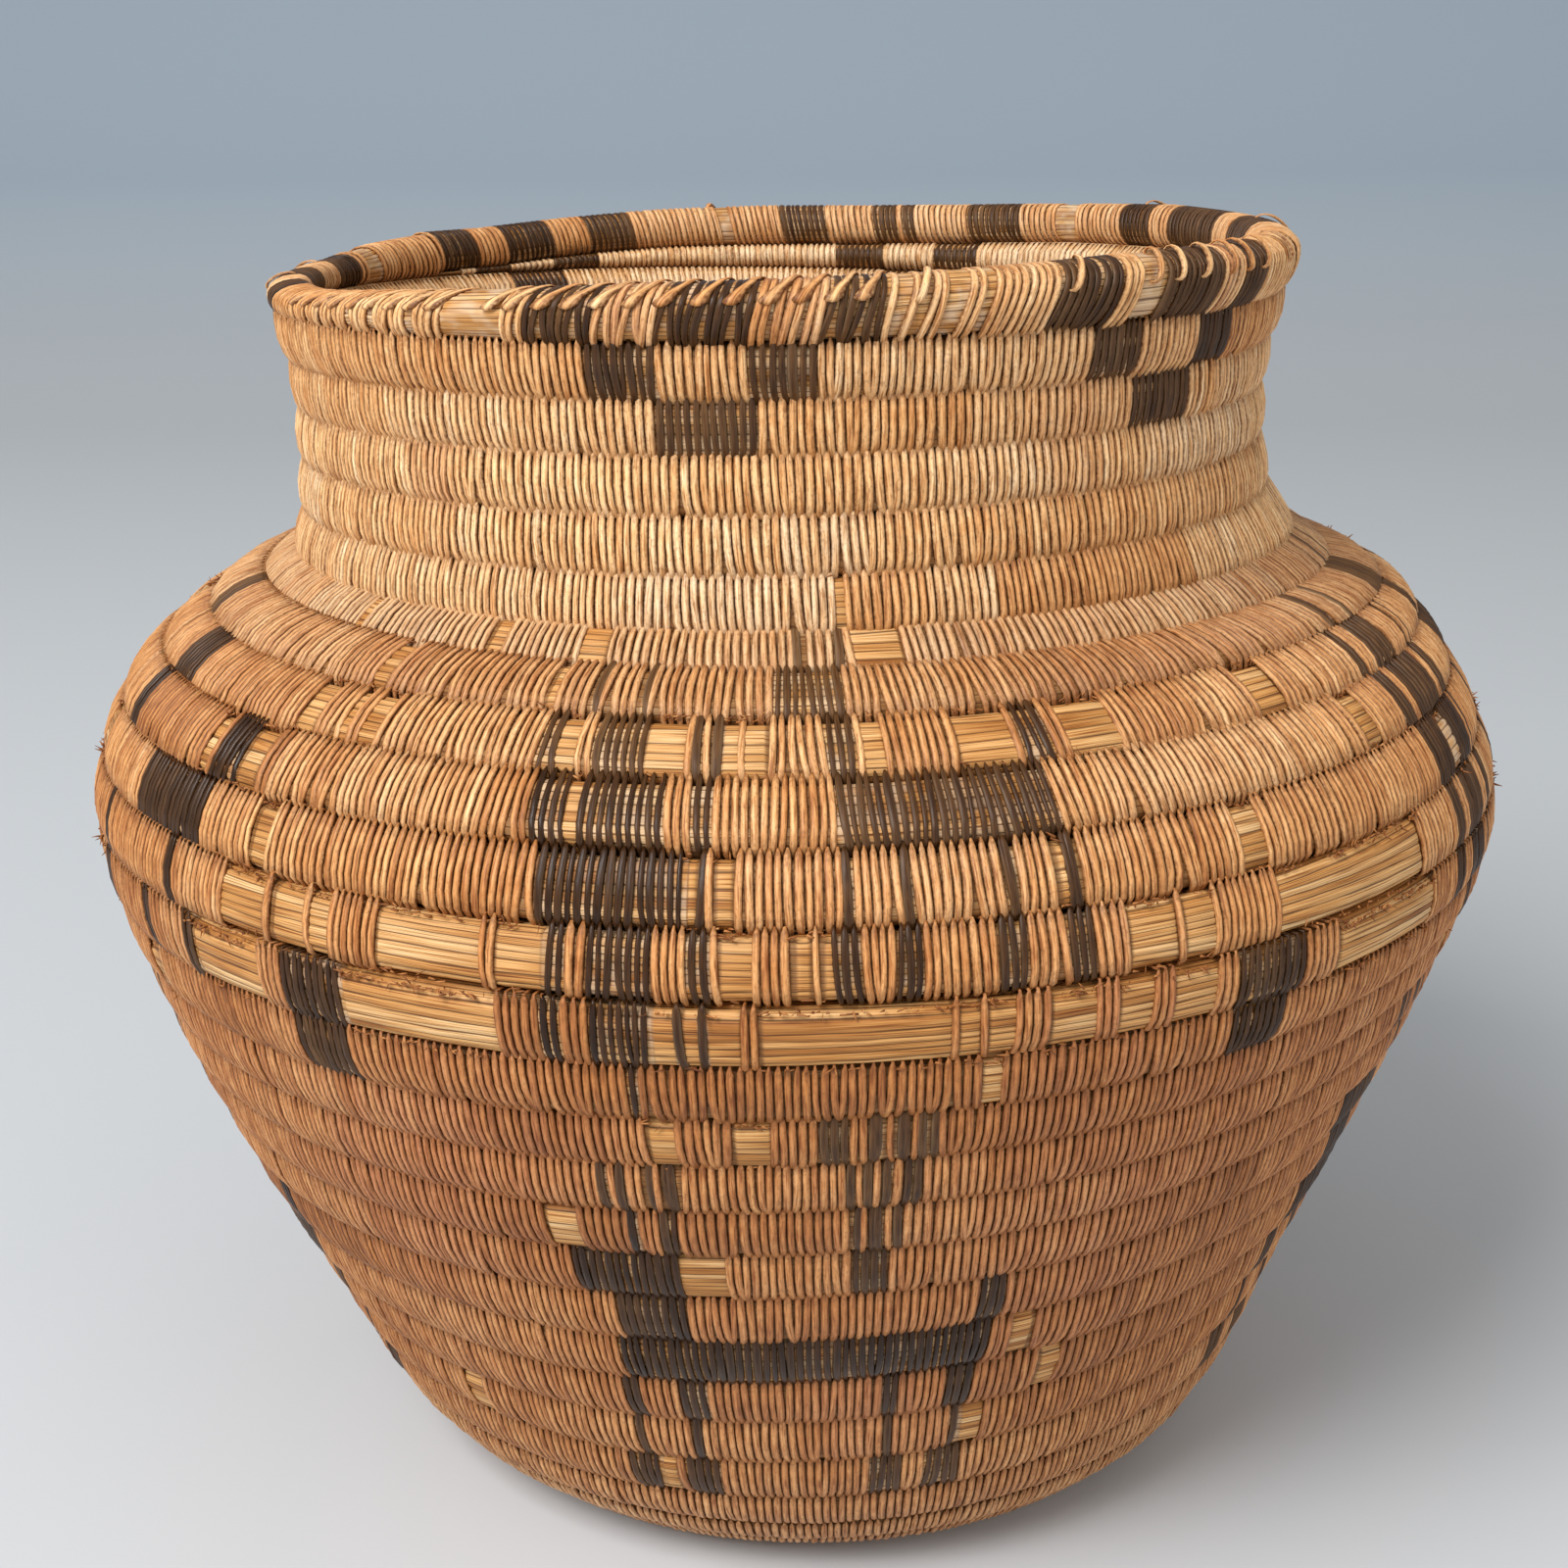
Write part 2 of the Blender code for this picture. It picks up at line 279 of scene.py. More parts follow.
def outline():
    """The wall's named places from the middle of the base to the rim, joined by one smooth curve.

    It is a Catmull-Rom spline spaced by the root of each chord: between b and c, each point is
    blended from the lines ab, bc and cd, in three steps."""
    flare = RIM_RADIUS - NECK_RADIUS
    neck_foot = NECK_RADIUS + NECK_FOOT_FLARE_SHARE * flare
    places = [(START_RADIUS, BASE_LEVEL), (BASE_RADIUS / 2, BASE_LEVEL), (BASE_RADIUS, BASE_LEVEL)]
    for out, up in LOWER_WALL_SHARES:
        radius = BASE_RADIUS + out * (BELLY_RADIUS - BASE_RADIUS)
        places.append((radius, BASE_LEVEL + up * (BELLY_HEIGHT - BASE_LEVEL)))
    places.append((BELLY_RADIUS, BELLY_HEIGHT))
    for inward, up in SHOULDER_SHARES:
        radius = BELLY_RADIUS + inward * (neck_foot - BELLY_RADIUS)
        places.append((radius, BELLY_HEIGHT + up * SHOULDER_LENGTH))
    places.append((neck_foot, NECK_FOOT_HEIGHT))
    places.append((NECK_RADIUS, NECK_HEIGHT))
    neck_top = NECK_HEIGHT + NECK_TOP_HEIGHT_SHARE * NECK_FLARE_LENGTH
    places.append((NECK_RADIUS + NECK_TOP_FLARE_SHARE * flare, neck_top))
    places.append((RIM_RADIUS, RIM_HEIGHT))
    places = np.array(places)
    ends = np.vstack([2 * places[0] - places[1], places, 2 * places[-1] - places[-2]])
    a, b, c, d = (ends[i : len(ends) - 3 + i, None] for i in range(4))
    root = np.sqrt(np.linalg.norm(np.diff(ends, axis=0), axis=1))
    ta, tb, tc, td = (
        np.sum([root[j : len(root) - 2 + j] for j in range(i)], axis=0).reshape(-1, 1, 1) if i
        else np.zeros((len(root) - 2, 1, 1))
        for i in range(4)
    )
    t = tb + (tc - tb) * np.linspace(0, 1, OUTLINE_STEPS, endpoint=False)[None, :, None]
    ab = ((tb - t) * a + (t - ta) * b) / (tb - ta)
    bc = ((tc - t) * b + (t - tb) * c) / (tc - tb)
    cd = ((td - t) * c + (t - tc) * d) / (td - tc)
    abc = ((tc - t) * ab + (t - ta) * bc) / (tc - ta)
    bcd = ((td - t) * bc + (t - tb) * cd) / (td - tb)
    curve = ((tc - t) * abc + (t - tb) * bcd) / (tc - tb)
    return np.vstack([curve.reshape(-1, 2), places[-1]])


OUTLINE = outline()
OUTLINE_LENGTHS = np.append(0.0, np.cumsum(np.linalg.norm(np.diff(OUTLINE, axis=0), axis=1)))
TURN_TABLE = np.linspace(0.0, TURNS + RIM_RISE_TURNS, OUTLINE_STEPS * TURNS)
HEIGHTS = np.interp(TURN_TABLE, *zip(*COIL_HEIGHT_SHARES))
LENGTH_TABLE = np.append(0.0, np.cumsum((HEIGHTS[1:] + HEIGHTS[:-1]) / 2))
LENGTH_TABLE *= OUTLINE_LENGTHS[-1] / LENGTH_TABLE[-1]


def wall(length):
    """The middle of the wall at a length along the outline: radius, height, and the way up it."""
    step = COIL_THICKNESS / 8
    low = np.clip(length - step, 0.0, OUTLINE_LENGTHS[-1] - 2 * step)
    radius, height, radius_low, height_low, radius_high, height_high = (
        np.interp(at, OUTLINE_LENGTHS, OUTLINE[:, axis])
        for at in (length, low, low + 2 * step)
        for axis in (0, 1)
    )
    up = np.hypot(radius_high - radius_low, height_high - height_low)
    return radius, height, (radius_high - radius_low) / up, (height_high - height_low) / up


def full_height(turn):
    """A full round's height at a turn: how far along the outline the next round lies."""
    capped = np.minimum(turn, TURNS - 1 + RIM_RISE_TURNS)
    return np.interp(capped + 1, TURN_TABLE, LENGTH_TABLE) - np.interp(capped, TURN_TABLE, LENGTH_TABLE)


def height_share(turn):
    """A round's height beside a full one: the spiral thins out at its end, and the rim's ring is uneven."""
    thinning = np.interp(turn - (TURNS - 2), *zip(*SPIRAL_END_SHARES))
    rim = np.interp(turn - (TURNS - 1), *zip(*RIM_COIL_SHARES))
    return np.where(turn < TURNS - 2, 1.0, np.where(turn < TURNS - 1, thinning, rim))


def half_height(turn):
    """Half of a round's height at a turn."""
    return full_height(turn) * height_share(turn) / 2


def half_thickness(turn):
    """Half of a round's thickness: less where the round is low."""
    return (SEAT_WIDTH + (COIL_THICKNESS - SEAT_WIDTH) * np.minimum(height_share(turn), 1.0)) / 2


def seat_drop(turn):
    """How far below its even place a round sits: the rim sinks where the round under it thins."""
    return np.where(turn < TURNS - 1, 0.0, full_height(turn - 1) * (1 - height_share(turn - 1)))


def handmade(x, y, z):
    """Moves places of the even basket to where the hand-made one has them, and flattens its ground.

    Below the height where the wear starts, heights are pressed together by an exponential, so that
    what lay lower still does, and nothing reaches the ground itself."""
    above = np.clip((z - BELLY_HEIGHT) / (RIM_HEIGHT - BELLY_HEIGHT), 0.0, 1.0)
    below = np.clip((BELLY_HEIGHT - z) / BELLY_HEIGHT, 0.0, 1.0)
    down = np.clip((BELLY_HEIGHT - z) / (BELLY_HEIGHT - COIL_THICKNESS), 0.0, 1.0)
    to_right = np.maximum(x / np.maximum(np.hypot(x, y), MM), 0.0)
    swell = SHOULDER_SWELL * to_right**4 * np.exp(-(((z - SWELL_HEIGHT) / SWELL_REACH) ** 2))
    rise = LOWER_WALL_RISE * 4 * down * (1 - down) * x / BELLY_RADIUS
    shift = MOUTH_SHIFT * above**2 * (3 - 2 * above) + BASE_SHIFT * below
    z = z + rise
    pressed = WEAR_START * np.exp(np.minimum(z / WEAR_START, 1.0) - 1.0)
    return np.stack([x + shift + swell, y, np.where(z < WEAR_START, pressed, z)], axis=-1)


def place(turn, up, out, across=0.0):
    """Places on the rounds: up and out from the middle of the section at a turn, and across along it."""
    middle = np.interp(turn, TURN_TABLE, LENGTH_TABLE) + half_height(turn) - seat_drop(turn)
    radius, height, way_out, way_up = wall(middle)
    far = radius + up * way_out + out * way_up
    angle = math.radians(START_ANGLE) + 2 * math.pi * turn + across / np.maximum(radius, MM)
    return handmade(far * np.cos(angle), far * np.sin(angle), height + up * way_up - out * way_out)


def row_and_degrees(turn):
    """The row that a turn lies in, counted from the rim, and its degrees to the right of the front."""
    return TURNS - np.floor(turn), (turn % 1.0) * 360 + BACK_LEFT


def round_share(degrees):
    """How far along its round a place lies, by its degrees to the right of the front."""
    return (degrees - BACK_LEFT) % 360 / 360


def within(turn, runs):
    """Which turns lie in the runs, a table of rows and of the degrees that each run goes from and to."""
    row, share = row_and_degrees(turn)[0], turn % 1.0
    found = np.zeros(np.shape(turn), bool)
    for at, spans in runs.items():
        for low, high in spans:
            low, high = round_share(low), round_share(high)
            past, before = share >= low, share <= high
            found |= (row == at) & (past & before if low <= high else past | before)
    return found


def repeated(motif, middles):
    """A motif's runs round the basket, once at each of the middles."""
    return {
        row: [(low + at, high + at) for at in middles for low, high in spans]
        for row, spans in motif.items()
    }


def joined(*tables):
    """Tables of runs as one."""
    rows = {row for table in tables for row in table}
    return {row: [span for table in tables for span in table.get(row, [])] for row in rows}


# The dark pattern. Six stepped triangles hang from the rim, five stepped figures lie on the shoulder
# and five four-legged animals go round the lower wall, with small double blocks between them.
RIM_BLOCKS = {
    1: [
        (-23.8, -16.8), (-10.5, -1.9), (4.9, 10.0), (26.5, 34.1), (39.6, 48.8), (53.3, 59.4), (86, 95),
        (101, 113.5), (117.8, 124.5), (142.5, 150.8), (158.8, 161.1), (161.7, 164.8), (172.2, 178.5),
        (201.2, 208), (213.8, 222.2), (227, 234), (-106, -99), (-92, -82.5), (-76, -70),
    ],
    2: [
        (-17.7, -10.6), (-2.3, 4.0), (32.5, 39.2), (47.5, 54.6), (94.6, 101.7), (110, 116.7), (149, 156),
        (164, 171), (207.5, 214.5), (221.5, 228), (-98.5, -92), (-82.5, -75.5),
    ],
    3: [(-11.3, -1.7), (38.4, 48.2), (101, 110.5), (155.5, 164.5), (213.5, 222.5), (-92.5, -83)],
}
SHOULDER_MOTIF = {
    7: [(0.6, 1.4), (4.6, 5.5)],
    8: [(-16.2, -15.3), (-12.0, -11.1), (-1.2, 4.7)],
    9: [(-19.2, -17.7), (-15.0, -10.9), (-7.3, -6.5), (-5.7, -4.9), (2.5, 5.3), (17.8, 20.3)],
    10: [(-18.0, -15.7), (-14.6, -8.5), (-7.0, -5.3), (2.9, 18.7)],
    11: [(-16.6, -6.8), (-6.1, -5.4), (3.0, 3.9), (6.8, 7.7), (13.8, 14.6), (18.2, 18.9)],
    12: [(-16.2, -14.6), (-13.1, -9.1), (-6.9, -5.2), (2.5, 4.1), (6.5, 8.0), (13.2, 14.8), (17.4, 19.1)],
    13: [(-16.6, -14.7), (-12.8, -9.0), (-7.6, -7.0), (-6.1, -5.5)],
    14: [(-11.1, -10.1)],
}
SHOULDER_MIDDLES = [0.0, 73.5, 146, 218]
LEFT_MOTIF = {
    8: [(-75, -71)],
    9: [(-66, -60.5)],
    10: [(-67.5, -64.8), (-48, -45.3)],
    11: [(-58, -47)],
    12: [(-64.8, -63.4), (-51, -49.8)],
    13: [(-66, -64.5), (-55.4, -54), (-48.6, -47.2)],
}
SMALL_BLOCKS = {13: [(-2.5, 2.9)], 14: [(-2.4, 2.4)]}
SMALL_MIDDLES = [-34.1, 33, 108, 181, -107]
ANIMAL_MOTIF = {
    15: [(1.6, 3.6), (4.9, 5.6), (6.5, 7.3), (7.9, 8.6), (8.9, 9.5)],
    16: [
        (-14.6, -13.8), (-13.2, -12.4), (-10.9, -10.1), (-9.4, -8.6), (3.1, 3.8), (4.3, 5.1), (5.7, 6.7),
        (7.4, 8.4),
    ],
    17: [(-13.0, -12.2), (-10.4, -9.3), (3.7, 4.5), (5.1, 5.9), (6.6, 7.4)],
    18: [(-18.0, -9.7), (3.8, 6.3)],
    19: [(-15.3, -9.8), (14.7, 16.9)],
    20: [(-16.5, 15.9)],
    21: [(-17.5, -15.5), (-11.5, -9.1), (6.8, 8.6), (13.0, 15.4)],
    22: [(-17.6, -16.3), (-11.4, -10.2), (7.1, 8.1), (13.8, 15.3)],
    23: [(-19.3, -15.7), (-13.4, -9.3), (6.1, 9.6), (11.9, 15.7)],
}
ANIMAL_MIDDLES = [0, 71, 143, 216, -72]
DARK_RUNS = joined(
    RIM_BLOCKS,
    repeated(SHOULDER_MOTIF, SHOULDER_MIDDLES),
    LEFT_MOTIF,
    repeated(SMALL_BLOCKS, SMALL_MIDDLES),
    repeated(ANIMAL_MOTIF, ANIMAL_MIDDLES),
)

# Where the splints are worn away and the bundle lies bare
BARE_RUNS = {
    1: [
        (-48.0, -47.3), (-43.6, -42.8), (-38.4, -37.6), (-33.3, -26.4), (-18.4, -18.0), (-7.6, -7.1),
        (10.9, 11.7), (13.4, 14.2), (15.5, 17.4), (19.1, 19.8), (36.6, 39.6), (-112, -108), (71, 74),
        (133, 136), (186, 188),
    ],
    6: [(5.0, 6.2)],
    7: [(-47.0, -45.6), (-29.0, -27.6), (-19.5, -17.0), (6.1, 10.7), (88, 91), (-101, -97)],
    8: [(-37.8, -36.2), (-20.0, -19.1), (131, 134)],
    9: [
        (-17.6, -16.1), (-10.7, -7.7), (-4.9, -3.6), (-3.4, -1.8), (5.4, 7.1), (12.8, 17.1), (21.3, 26.1),
        (40, 43), (96, 103), (118, 121), (167, 172), (197, 204), (-118, -114), (-90, -85),
        (-42.0, -40.2), (-37.2, -36.2), (-35.2, -33.4),
    ],
    10: [(-15.6, -14.6), (-50.2, -49.0), (-44.7, -42.8), (49.0, 51.0), (128, 130), (185, 188), (-97, -95)],
    11: [
        (-6.7, -6.3), (-4.9, -4.0), (17.6, 18.2), (31.5, 34.0), (60.8, 63.0), (92, 97), (158, 160),
        (205, 210), (-113, -110), (-75, -72), (-40.5, -39),
    ],
    12: [
        (-37.2, -34.3), (-33.9, -32.1), (-28.0, -20.3), (-19.2, -16.2), (-4.6, -2.5), (0.1, 0.85),
        (1.85, 2.5), (21.9, 25.2), (26.0, 28.3), (33.8, 50.2), (-43, -38.5), (81, 96), (98, 113),
        (122, 131), (151, 170), (189, 197), (204, 214), (-124, -109), (-102, -88), (-84, -76),
    ],
    13: [
        (-46.9, -39.2), (-31.2, -19.4), (-9.0, -7.6), (-7.0, -6.1), (-5.5, -3.5), (-2.1, 9.7),
        (10.3, 11.5), (12.2, 14.1), (16.4, 19.4), (21.1, 23.6), (25.1, 28.6), (39.9, 52.0), (-73, -67),
        (76, 88), (91, 104), (117, 142), (159, 177), (186, 199), (226, 234), (-120, -112), (-101, -79),
    ],
    14: [(12.0, 13.4), (97, 99), (155, 158), (-58, -56)],
    15: [(-10.1, -8.3), (-4.3, -2.0), (61, 63)],
    17: [(-19.3, -16.7), (133, 136), (-92, -90)],
    18: [(-9.7, -5.7), (83, 86)],
    20: [(18.2, 20.0), (176, 179)],
    21: [(22.4, 24.5)],
    22: [(-38.5, -35.6), (15.3, 17.4), (-104, -101)],
    23: [(-15.7, -14.3), (112, 115)],
}

# By row: how wide the splints are beside their places, how light the willow is, by its own tone and by
# painted shade on the rows of the shoulder and belly, how rusty and how dusty it is, and how faded the
# dark splints are
WIDTH_ROWS = [(1, 0.94), (2, 1.00), (6, 0.98), (7, 0.90), (10, 0.90), (11, 0.93), (14, 0.97), (35, 0.98)]
TONE_AND_SHADE_ROWS = [(1, 0.70), (2, 0.64), (4, 0.76), (6, 0.80), (7, 0.52), (8, 0.53), (10, 0.50), (12, 0.48),
              (14, 0.37), (16, 0.30), (19, 0.33), (23, 0.38), (25, 0.50), (35, 0.36)]
RUST_ROWS = [(1, 0.12), (2, 0.10), (6, 0.06), (11, 0.12), (13, 0.22), (15, 0.28), (18, 0.24), (22, 0.16),
             (25, 0.14), (35, 0.20)]
DUST_ROWS = [(1, 0.04), (6, 0.08), (7, 0.78), (8, 0.52), (9, 0.22), (11, 0.08), (14, 0.06), (22, 0.12),
             (25, 0.42), (35, 0.50)]
FADE_ROWS = [(1, 0.42), (3, 0.46), (7, 0.72), (8, 0.68), (9, 0.46), (10, 0.38), (11, 0.34), (13, 0.28),
             (14, 0.40), (15, 0.60), (16, 0.35), (18, 0.24), (20, 0.20), (23, 0.40)]
# Pink and rusty places: row, degrees, reach in rows and in degrees, and how rusty their middles are
RUST_PLACES = [
    (15.5, -24, 2.2, 9), (17.5, 24, 3.0, 10), (13.0, 20, 1.2, 7), (18.0, -34, 2.5, 8), (16, 85, 3, 12),
    (19, 132, 3, 14), (15, 190, 2.5, 10), (18, -95, 3, 13), (21, 8, 1.5, 8), (1, -13.7, 0.6, 3),
    (1, 1.5, 0.6, 3.2), (1, 51, 0.6, 2), (4.5, -38, 0.8, 4), (8, -37, 0.7, 3), (3.5, 32, 0.7, 5),
]
PLACE_RUST = 0.55
# How far the rim's splints lean to the right at their tops, in millimetres, by degrees
RIM_LEANS = [
    (-125, 0.0), (-62, 0.0), (-50, -0.2), (-30, 0.0), (9, 0.0), (14, 0.5), (30, 0.9), (60, 0.6), (100, 0.0),
]
# Where lacing splints cross the rim, in degrees, and where others broke off in a stub. Between two of
# them the rim's splints stand gathered into a group, narrower at the foot.
LACING_HEADS = [
    -60.5, -57.0, -53.4, -50.2, -46.6, -43.4, -40.2, -37.2, -34.2, -27.3, -24.9, -21.7, -18.8, -15.9,
    -12.95, -9.9, -6.5, -3.6, -0.35, 2.5, 5.3, 8.2,
]
LACING_STUBS = [13.4, 29.0, 38.8, 42.0, 46.0, 50.6, 53.9, 58.2, 66.0, 91.5, 121.0, 188.0, -84.0, -98.0]
# The widest group, in degrees, by what share it is drawn together, and by what share it fans out again
GROUP_SPAN = 4.5
GROUP_SQUEEZE = 0.14
GROUP_FAN = 0.22
# The lacing splints and the stubs: how far they stray from their places in degrees, their widths beside
# a splint's, in millimetres how high they lie, how unevenly and how far they lean, and their looks
LACING_STRAY = 0.15
LACING_WIDTHS = (1.7, 2.1)
STUB_WIDTHS = (1.0, 1.35)
LACING_LIFT = 0.30
LACING_UNEVENNESS = 0.05
LACING_LEAN = 0.2
STUB_LEAN = 0.7
LACING_LIGHT = (0.5, 0.85)
LACING_RUST = (0.0, 0.3)
# The first of the numbers that give the lacing splints patterns of their own
LACING_NUMBER = 9000.0
# The widest place, in degrees, for a single dark splint, or one left in between two bare runs
SINGLE_GAP = 0.95
SINGLE_WIDTH = 1.12
# How many splints are sewn with one length of splint, over how many neighbours a patch's tone goes,
# and how wide a splint's place may be beside the even one
SPLINT_RUN = 14
PATCH_REACH = 14
PITCH_LIMITS = (0.68, 1.36)
# How uneven the light and the fading are: by length of splint, by patch and by the single splint. How
# much of its row's rust and dust a splint has, and the rust that a length of splint adds.
LIGHT_SPREADS = (0.08, 0.05, 0.05)
FADE_SPREADS = (0.08, 0.06, 0.07)
RUST_RANGE = (0.5, 1.3)
DUST_RANGE = (0.6, 1.2)
RUST_BY_LENGTH = 0.1
# How unevenly splints are lifted and lean, and lean on the rim, in millimetres
LIFT_SPREAD = 0.07
LEAN_SPREAD = 0.10
RIM_LEAN_SPREAD = 0.12
# How wide dark splints are beside pale ones, and below which row they are wider by how much
DARK_WIDTHS = (0.70, 0.98)
DARK_WIDER_ROW = 14
DARK_WIDER = 1.1
# The broken slips of splint: how many there are, past which turn, and how many of them start at the top
# of their round. They start so far up and out, as shares of half its height and thickness.
SLIVERS = 2200
SLIVER_START_TURN = 20
SLIVER_TOP_SHARE = 0.7
SLIVER_UP = (0.90, 1.08)
SLIVER_OUT = (0.78, 0.96)
# Their lengths in millimetres, half their thickness at the foot, in the middle and at the tip, and the
# way they point: how much it varies along the round, up and out, and what is added to it. Then how
# far they stray from a worn splint's place, in turns, and how light they are.
SLIVER_LENGTHS = (0.5, 2.4)
SLIVER_HALVES = np.array([0.24, 0.20, 0.05]) * MM
SLIVER_SPREAD = (1.4, 0.5, 0.5)
SLIVER_OUTWARD = (0.0, 0.0, 0.25)
SLIVER_STRAY = 0.001
# The slivers are dark, partly for their own brown and partly as painted shade
SLIVER_TONE_AND_SHADE = (-0.1, 0.35)
TABLE_SEED = 7


def by_row(turn, table):
    """A value between the rows of a table."""
    return np.interp(TURNS - turn + 0.5, *zip(*table))


def rusty(turn):
    """How rusty a place is: its row's share, and more near the rusty places."""
    row, degrees = TURNS - turn + 0.5, row_and_degrees(turn)[1]
    rust = by_row(turn, RUST_ROWS)
    for at_row, at_degrees, rows, reach in RUST_PLACES:
        away = (degrees - at_degrees + 180) % 360 - 180
        rust = rust + PLACE_RUST * np.exp(-(((row - at_row) / rows) ** 2) - (away / reach) ** 2)
    return rust


def gathered(turn):
    """The rim's splints drawn into groups between the lacing splints, and how they fan out in millimetres."""
    row, degrees = row_and_degrees(turn)
    after = np.clip(np.searchsorted(LACING_HEADS, degrees), 1, len(LACING_HEADS) - 1)
    low, high = np.array(LACING_HEADS)[after - 1], np.array(LACING_HEADS)[after]
    grouped = (row == 1) & (degrees > low) & (degrees < high) & (high - low < GROUP_SPAN)
    away = np.where(grouped, degrees - (low + high) / 2, 0.0)
    return turn - GROUP_SQUEEZE * away / 360, GROUP_FAN * np.radians(away) * RIM_RADIUS


def single_splints(turn):
    """The splints' turns, with the nearest one moved to where a single splint is dark or is left, and
    which ones those are."""
    turn = turn.copy()
    moved = []
    for row in range(1, TURNS):
        bare, dark = (
            sorted((round_share(low), round_share(high)) for low, high in runs.get(row, []))
            for runs in (BARE_RUNS, DARK_RUNS)
        )
        left_over = [(left, right) for (_, left), (right, _) in zip(bare, bare[1:])]
        for left, right in left_over + dark:
            if 0 < right - left < SINGLE_GAP / 360:
                at = TURNS - row + (left + right) / 2
                turn[np.argmin(np.abs(turn - at))] = at
                moved.append(at)
    turn = np.sort(turn)
    return turn, np.isin(turn, moved)


def stitch_table():
    """Every splint on the spiral: its turn, which splint of the sewer's it is, and its looks.

    Each splint has its own share of the spiral's length, so their turns come from the sum of that
    length."""

    def uneven(rows, by_length, by_patch, by_splint):
        """A look by row, made uneven. A patch's noise is averaged, which shrinks it to about a fifth."""
        look = by_row(turn, rows) + by_length * length_tone + by_patch * 5 * patch
        return np.clip(look + rng.normal(0, by_splint, count), 0, 1)

    rng = np.random.default_rng(TABLE_SEED)
    turns = TURN_TABLE[TURN_TABLE <= TURNS]
    radius = wall(np.interp(turns, TURN_TABLE, LENGTH_TABLE) + half_height(turns))[0]
    walked = np.append(0.0, np.cumsum(np.diff(turns) * math.pi * (radius[1:] + radius[:-1])))
    shares = np.clip(rng.normal(1, PITCH_SPREAD, int(1.1 * walked[-1] / STITCH_PITCH)), *PITCH_LIMITS)
    steps = (np.cumsum(shares) - shares / 2) * STITCH_PITCH
    shares, steps = shares[steps < walked[-1]], steps[steps < walked[-1]]
    count = len(steps)
    turn, fan = gathered(np.interp(steps, walked, turns))
    turn, single = single_splints(turn)
    row, degrees = row_and_degrees(turn)
    dark = within(turn, DARK_RUNS)
    splint = np.cumsum(rng.random(count) < 1 / SPLINT_RUN)
    length_tone = rng.normal(0, 1, splint[-1] + 1)[splint]
    patch = smooth(rng.normal(0, 1, count), PATCH_REACH)
    rim_lean = np.interp(degrees, *zip(*RIM_LEANS)) + RIM_LEAN_SPREAD * rng.normal(0, 1, count)
    rim_lean = np.where(row == 1, rim_lean, 0.0)
    light, fade = uneven(TONE_AND_SHADE_ROWS, *LIGHT_SPREADS), uneven(FADE_ROWS, *FADE_SPREADS)
    dark_width = rng.uniform(*DARK_WIDTHS, count) * np.where(row > DARK_WIDER_ROW, DARK_WIDER, 1.0)
    width = shares * by_row(turn, WIDTH_ROWS) * np.where(dark, dark_width, 1.0)
    rust = rusty(turn) * rng.uniform(*RUST_RANGE, count) + RUST_BY_LENGTH * length_tone
    return {
        "turn": turn,
        "number": np.arange(count) + 0.0,
        "width": np.where(single & dark, SINGLE_WIDTH, width),
        "light": light,
        "rust": np.clip(rust, 0, 1),
        "dust": np.clip(by_row(turn, DUST_ROWS) * rng.uniform(*DUST_RANGE, count), 0, 1),
        "fade": fade,
        "lift": rng.normal(0, LIFT_SPREAD, count) * MM,
        "lean": rng.normal(0, LEAN_SPREAD, count) * MM + fan + rim_lean * MM,
        "dark": dark,
        "bare": within(turn, BARE_RUNS) | ((turn > THIN_END) & (turn < TURNS - 1)),
    }


def smooth(values, reach):
    """Values averaged over their neighbours within reach."""
    kernel = np.ones(2 * reach + 1) / (2 * reach + 1)
    return np.convolve(np.pad(values, reach, mode="edge"), kernel, mode="valid")


STITCHES = stitch_table()


def tucked(turn):
    """Where each splint's foot goes into the round below: the nearest gap between its splints."""
    every = STITCHES["turn"]
    gaps = (every[1:] + every[:-1]) / 2 + 1
    after = np.clip(np.searchsorted(gaps, turn), 1, len(gaps) - 1)
    nearest = np.where(turn - gaps[after - 1] < gaps[after] - turn, gaps[after - 1], gaps[after])
    return np.where(turn > UNTUCKED_END, nearest, turn)


def stacked(*values):
    """Arrays of values of the same places as one row of values for each place."""
    return np.stack(np.broadcast_arrays(*values), -1).reshape(-1, len(values))


def grid_quads(rows, columns, closed_rows=False, closed_columns=False):
    """The quads of a grid of points, and the corner of the grid, unwrapped, that each one uses."""
    i = np.arange(rows if closed_rows else rows - 1)
    j = np.arange(columns if closed_columns else columns - 1)
    i, j = (a.ravel() for a in np.meshgrid(i, j, indexing="ij"))
    corners = np.stack([np.stack([i, i, i + 1, i + 1], 1), np.stack([j, j + 1, j + 1, j], 1)], 2)
    return (corners[..., 0] % rows) * columns + corners[..., 1] % columns, corners


